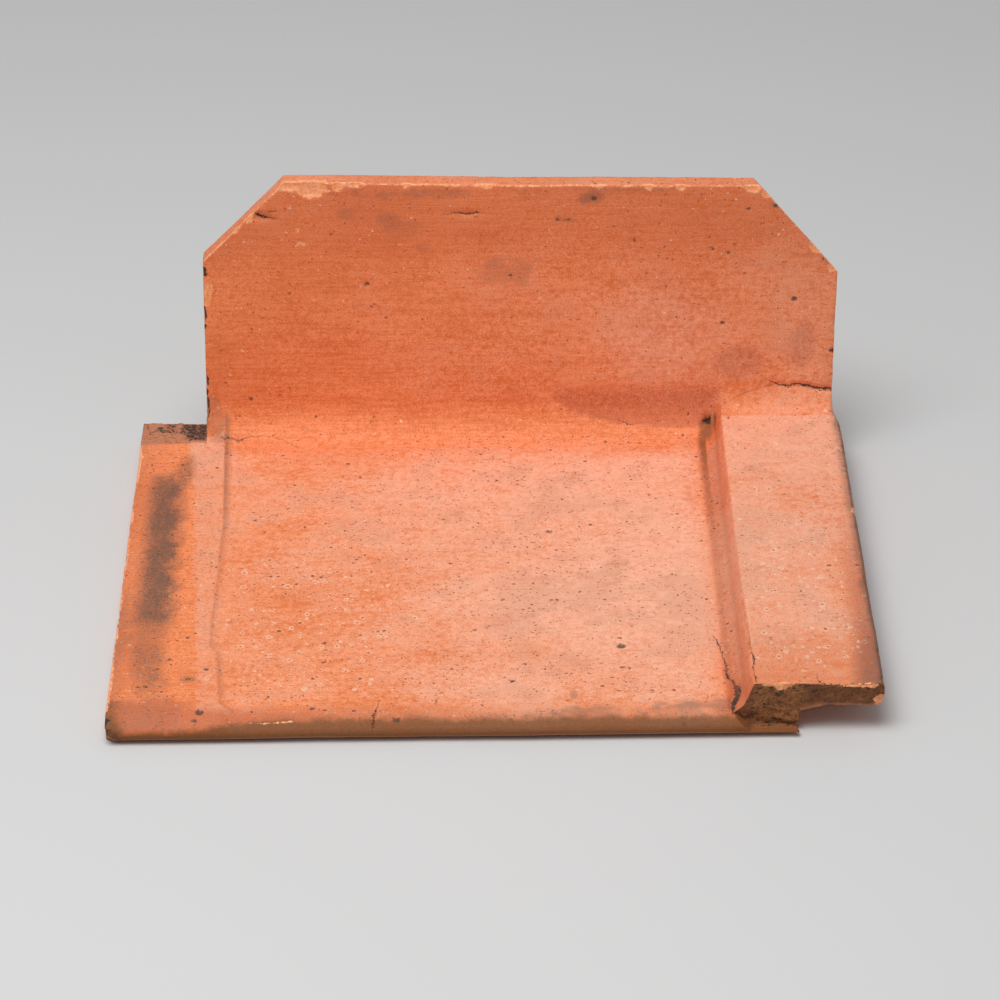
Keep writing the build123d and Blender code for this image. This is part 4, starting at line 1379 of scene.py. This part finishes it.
def fired_clay(names):
    """The finish of the whole tile: clay of two tones, what fire, use and dirt left on it, flecks
    and drag lines, and the marks that the mesh carries under these names."""
    clay = bpy.data.materials.new("fired_clay")
    clay.use_nodes = True
    tree = clay.node_tree
    shader = tree.nodes["Principled BSDF"]
    for make_effect in (flecks_effect, broken_effect, ragged_effect, drag_effect):
        make_effect()
    noise = shared_noise(Output(add(tree, "TexCoord").outputs["Object"]))
    marks = SimpleNamespace()
    for name in names:
        mark = add(tree, "Attribute", attribute_type="GEOMETRY", attribute_name=name)
        setattr(marks, name, Output(mark.outputs["Fac"]))
    rough = calc("MAXIMUM", marks.torn, marks.notch)
    skin = 1.0 - calc("MAXIMUM", rough, marks.hidden)

    tone = (0.4 * noise.wide + 0.35 * noise.mid + 0.45 * noise.small + 0.6 * noise.fine
            + 0.9 * noise.lines + 0.25 * noise.bands)
    colour = tinted(step_up(tone, 1.22, 1.75), CLAY_DEEP, CLAY_LIGHT)
    ruddy = broken_up(marks.ruddy, noise.small, 0.25, 0.48)
    # the deep red includes painted shade in the valley at the step's foot
    colour = tinted(0.62 * ruddy, colour, RUDDY)
    colour = bloomed(colour, noise, marks, skin)
    colour = flecked(colour, noise, marks, skin)
    colour = smoked_and_shaded(colour, noise, marks)
    colour = broken(colour, noise, marks, ruddy)
    tar = broken_up(marks.tar, noise.crumbs, 0.9, 0.12)
    colour = tinted(0.92 * tar, colour, TAR)
    colour = cracked(colour, noise, marks)
    colour = tinted(0.6 * marks.hidden, colour, DUSTY_BACK)
    tree.links.new(colour.socket, shader.inputs["Base Color"])

    # Roughness, and the relief's height in millimetres
    dull = calc("MAXIMUM", 0.2 * noise.mid + 0.62, 0.92 * calc("MAXIMUM", rough, tar))
    tree.links.new(dull.socket, shader.inputs["Roughness"])
    height = (0.12 * noise.fine + 0.18 * (noise.lines * skin) + 0.5 * noise.mid
              + 2.2 * (noise.lumps * rough))
    bump = result(tree, "Bump", ("Strength", 1.0), ("Distance", MM), ("Height", height))
    tree.links.new(bump.socket, shader.inputs["Normal"])
    return clay


def read_vectors(mesh, name):
    """One vector for each point of a mesh, as rows of an array."""
    values = np.empty(len(mesh.vertices) * 3)
    mesh.vertices.foreach_get(name, values)
    return values.reshape(-1, 3)


def worn_tile():
    """The tile's mesh: the clean shape, worn, with the values that its finish reads."""
    mesh = welded(*tile_shell())
    clean, facing = read_vectors(mesh, "co"), read_vectors(mesh, "normal")
    worn, chipped = worn_shape(clean, facing)
    in_metres = worn * MM + np.array(cad_box[0])
    mesh.vertices.foreach_set("co", in_metres.astype(np.float32).ravel())
    marks = stains(clean, facing, chipped)
    for name, values in marks.items():
        layer = mesh.attributes.new(name, "FLOAT", "POINT")
        layer.data.foreach_set("value", values.astype(np.float32))
    mesh.update()
    mesh.polygons.foreach_set("use_smooth", np.ones(len(mesh.polygons), bool))
    mesh.set_sharp_from_angle(angle=radians(38))
    mesh.materials.append(fired_clay(marks))
    return mesh


def placed(name, data, position):
    """An object of the scene."""
    made = bpy.data.objects.new(name, data)
    made.location = position
    bpy.context.scene.collection.objects.link(made)
    return made


tile = placed("tile_clay", worn_tile(), (0, 0, 0))
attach(tile, "root")
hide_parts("tile")

# The photo's camera, even white light from all sides, and a lamp at the upper left
scene = bpy.context.scene
scene.view_settings.view_transform = "Standard"
camera = placed("camera", bpy.data.cameras.new("camera"), (-0.02589, -2.44124, 1.35485))
camera.data.lens = 161.0
camera.data.sensor_width = 36.0
camera.rotation_euler = (radians(62.027), 0, radians(-0.72))
scene.camera = camera
scene.world = bpy.data.worlds.new("studio")
scene.world.use_nodes = True
background = scene.world.node_tree.nodes["Background"]
background.inputs["Color"].default_value = (1, 1, 1, 1)
background.inputs["Strength"].default_value = 0.33
lamp = placed("key", bpy.data.lights.new("key", "AREA"), (-0.45, -0.62, 2.15))
lamp.data.energy = 43
lamp.data.size = 1.6
to_tile = Vector((0, 0, 0.05)) - lamp.location
lamp.rotation_euler = to_tile.to_track_quat("-Z", "Y").to_euler()
bpy.ops.mesh.primitive_plane_add(size=8)
floor = bpy.context.object
floor.name = "floor"
pale = bpy.data.materials.new("pale_floor")
pale.use_nodes = True
pale.node_tree.nodes["Principled BSDF"].inputs["Base Color"].default_value = (0.66, 0.66, 0.66, 1)
floor.data.materials.append(pale)
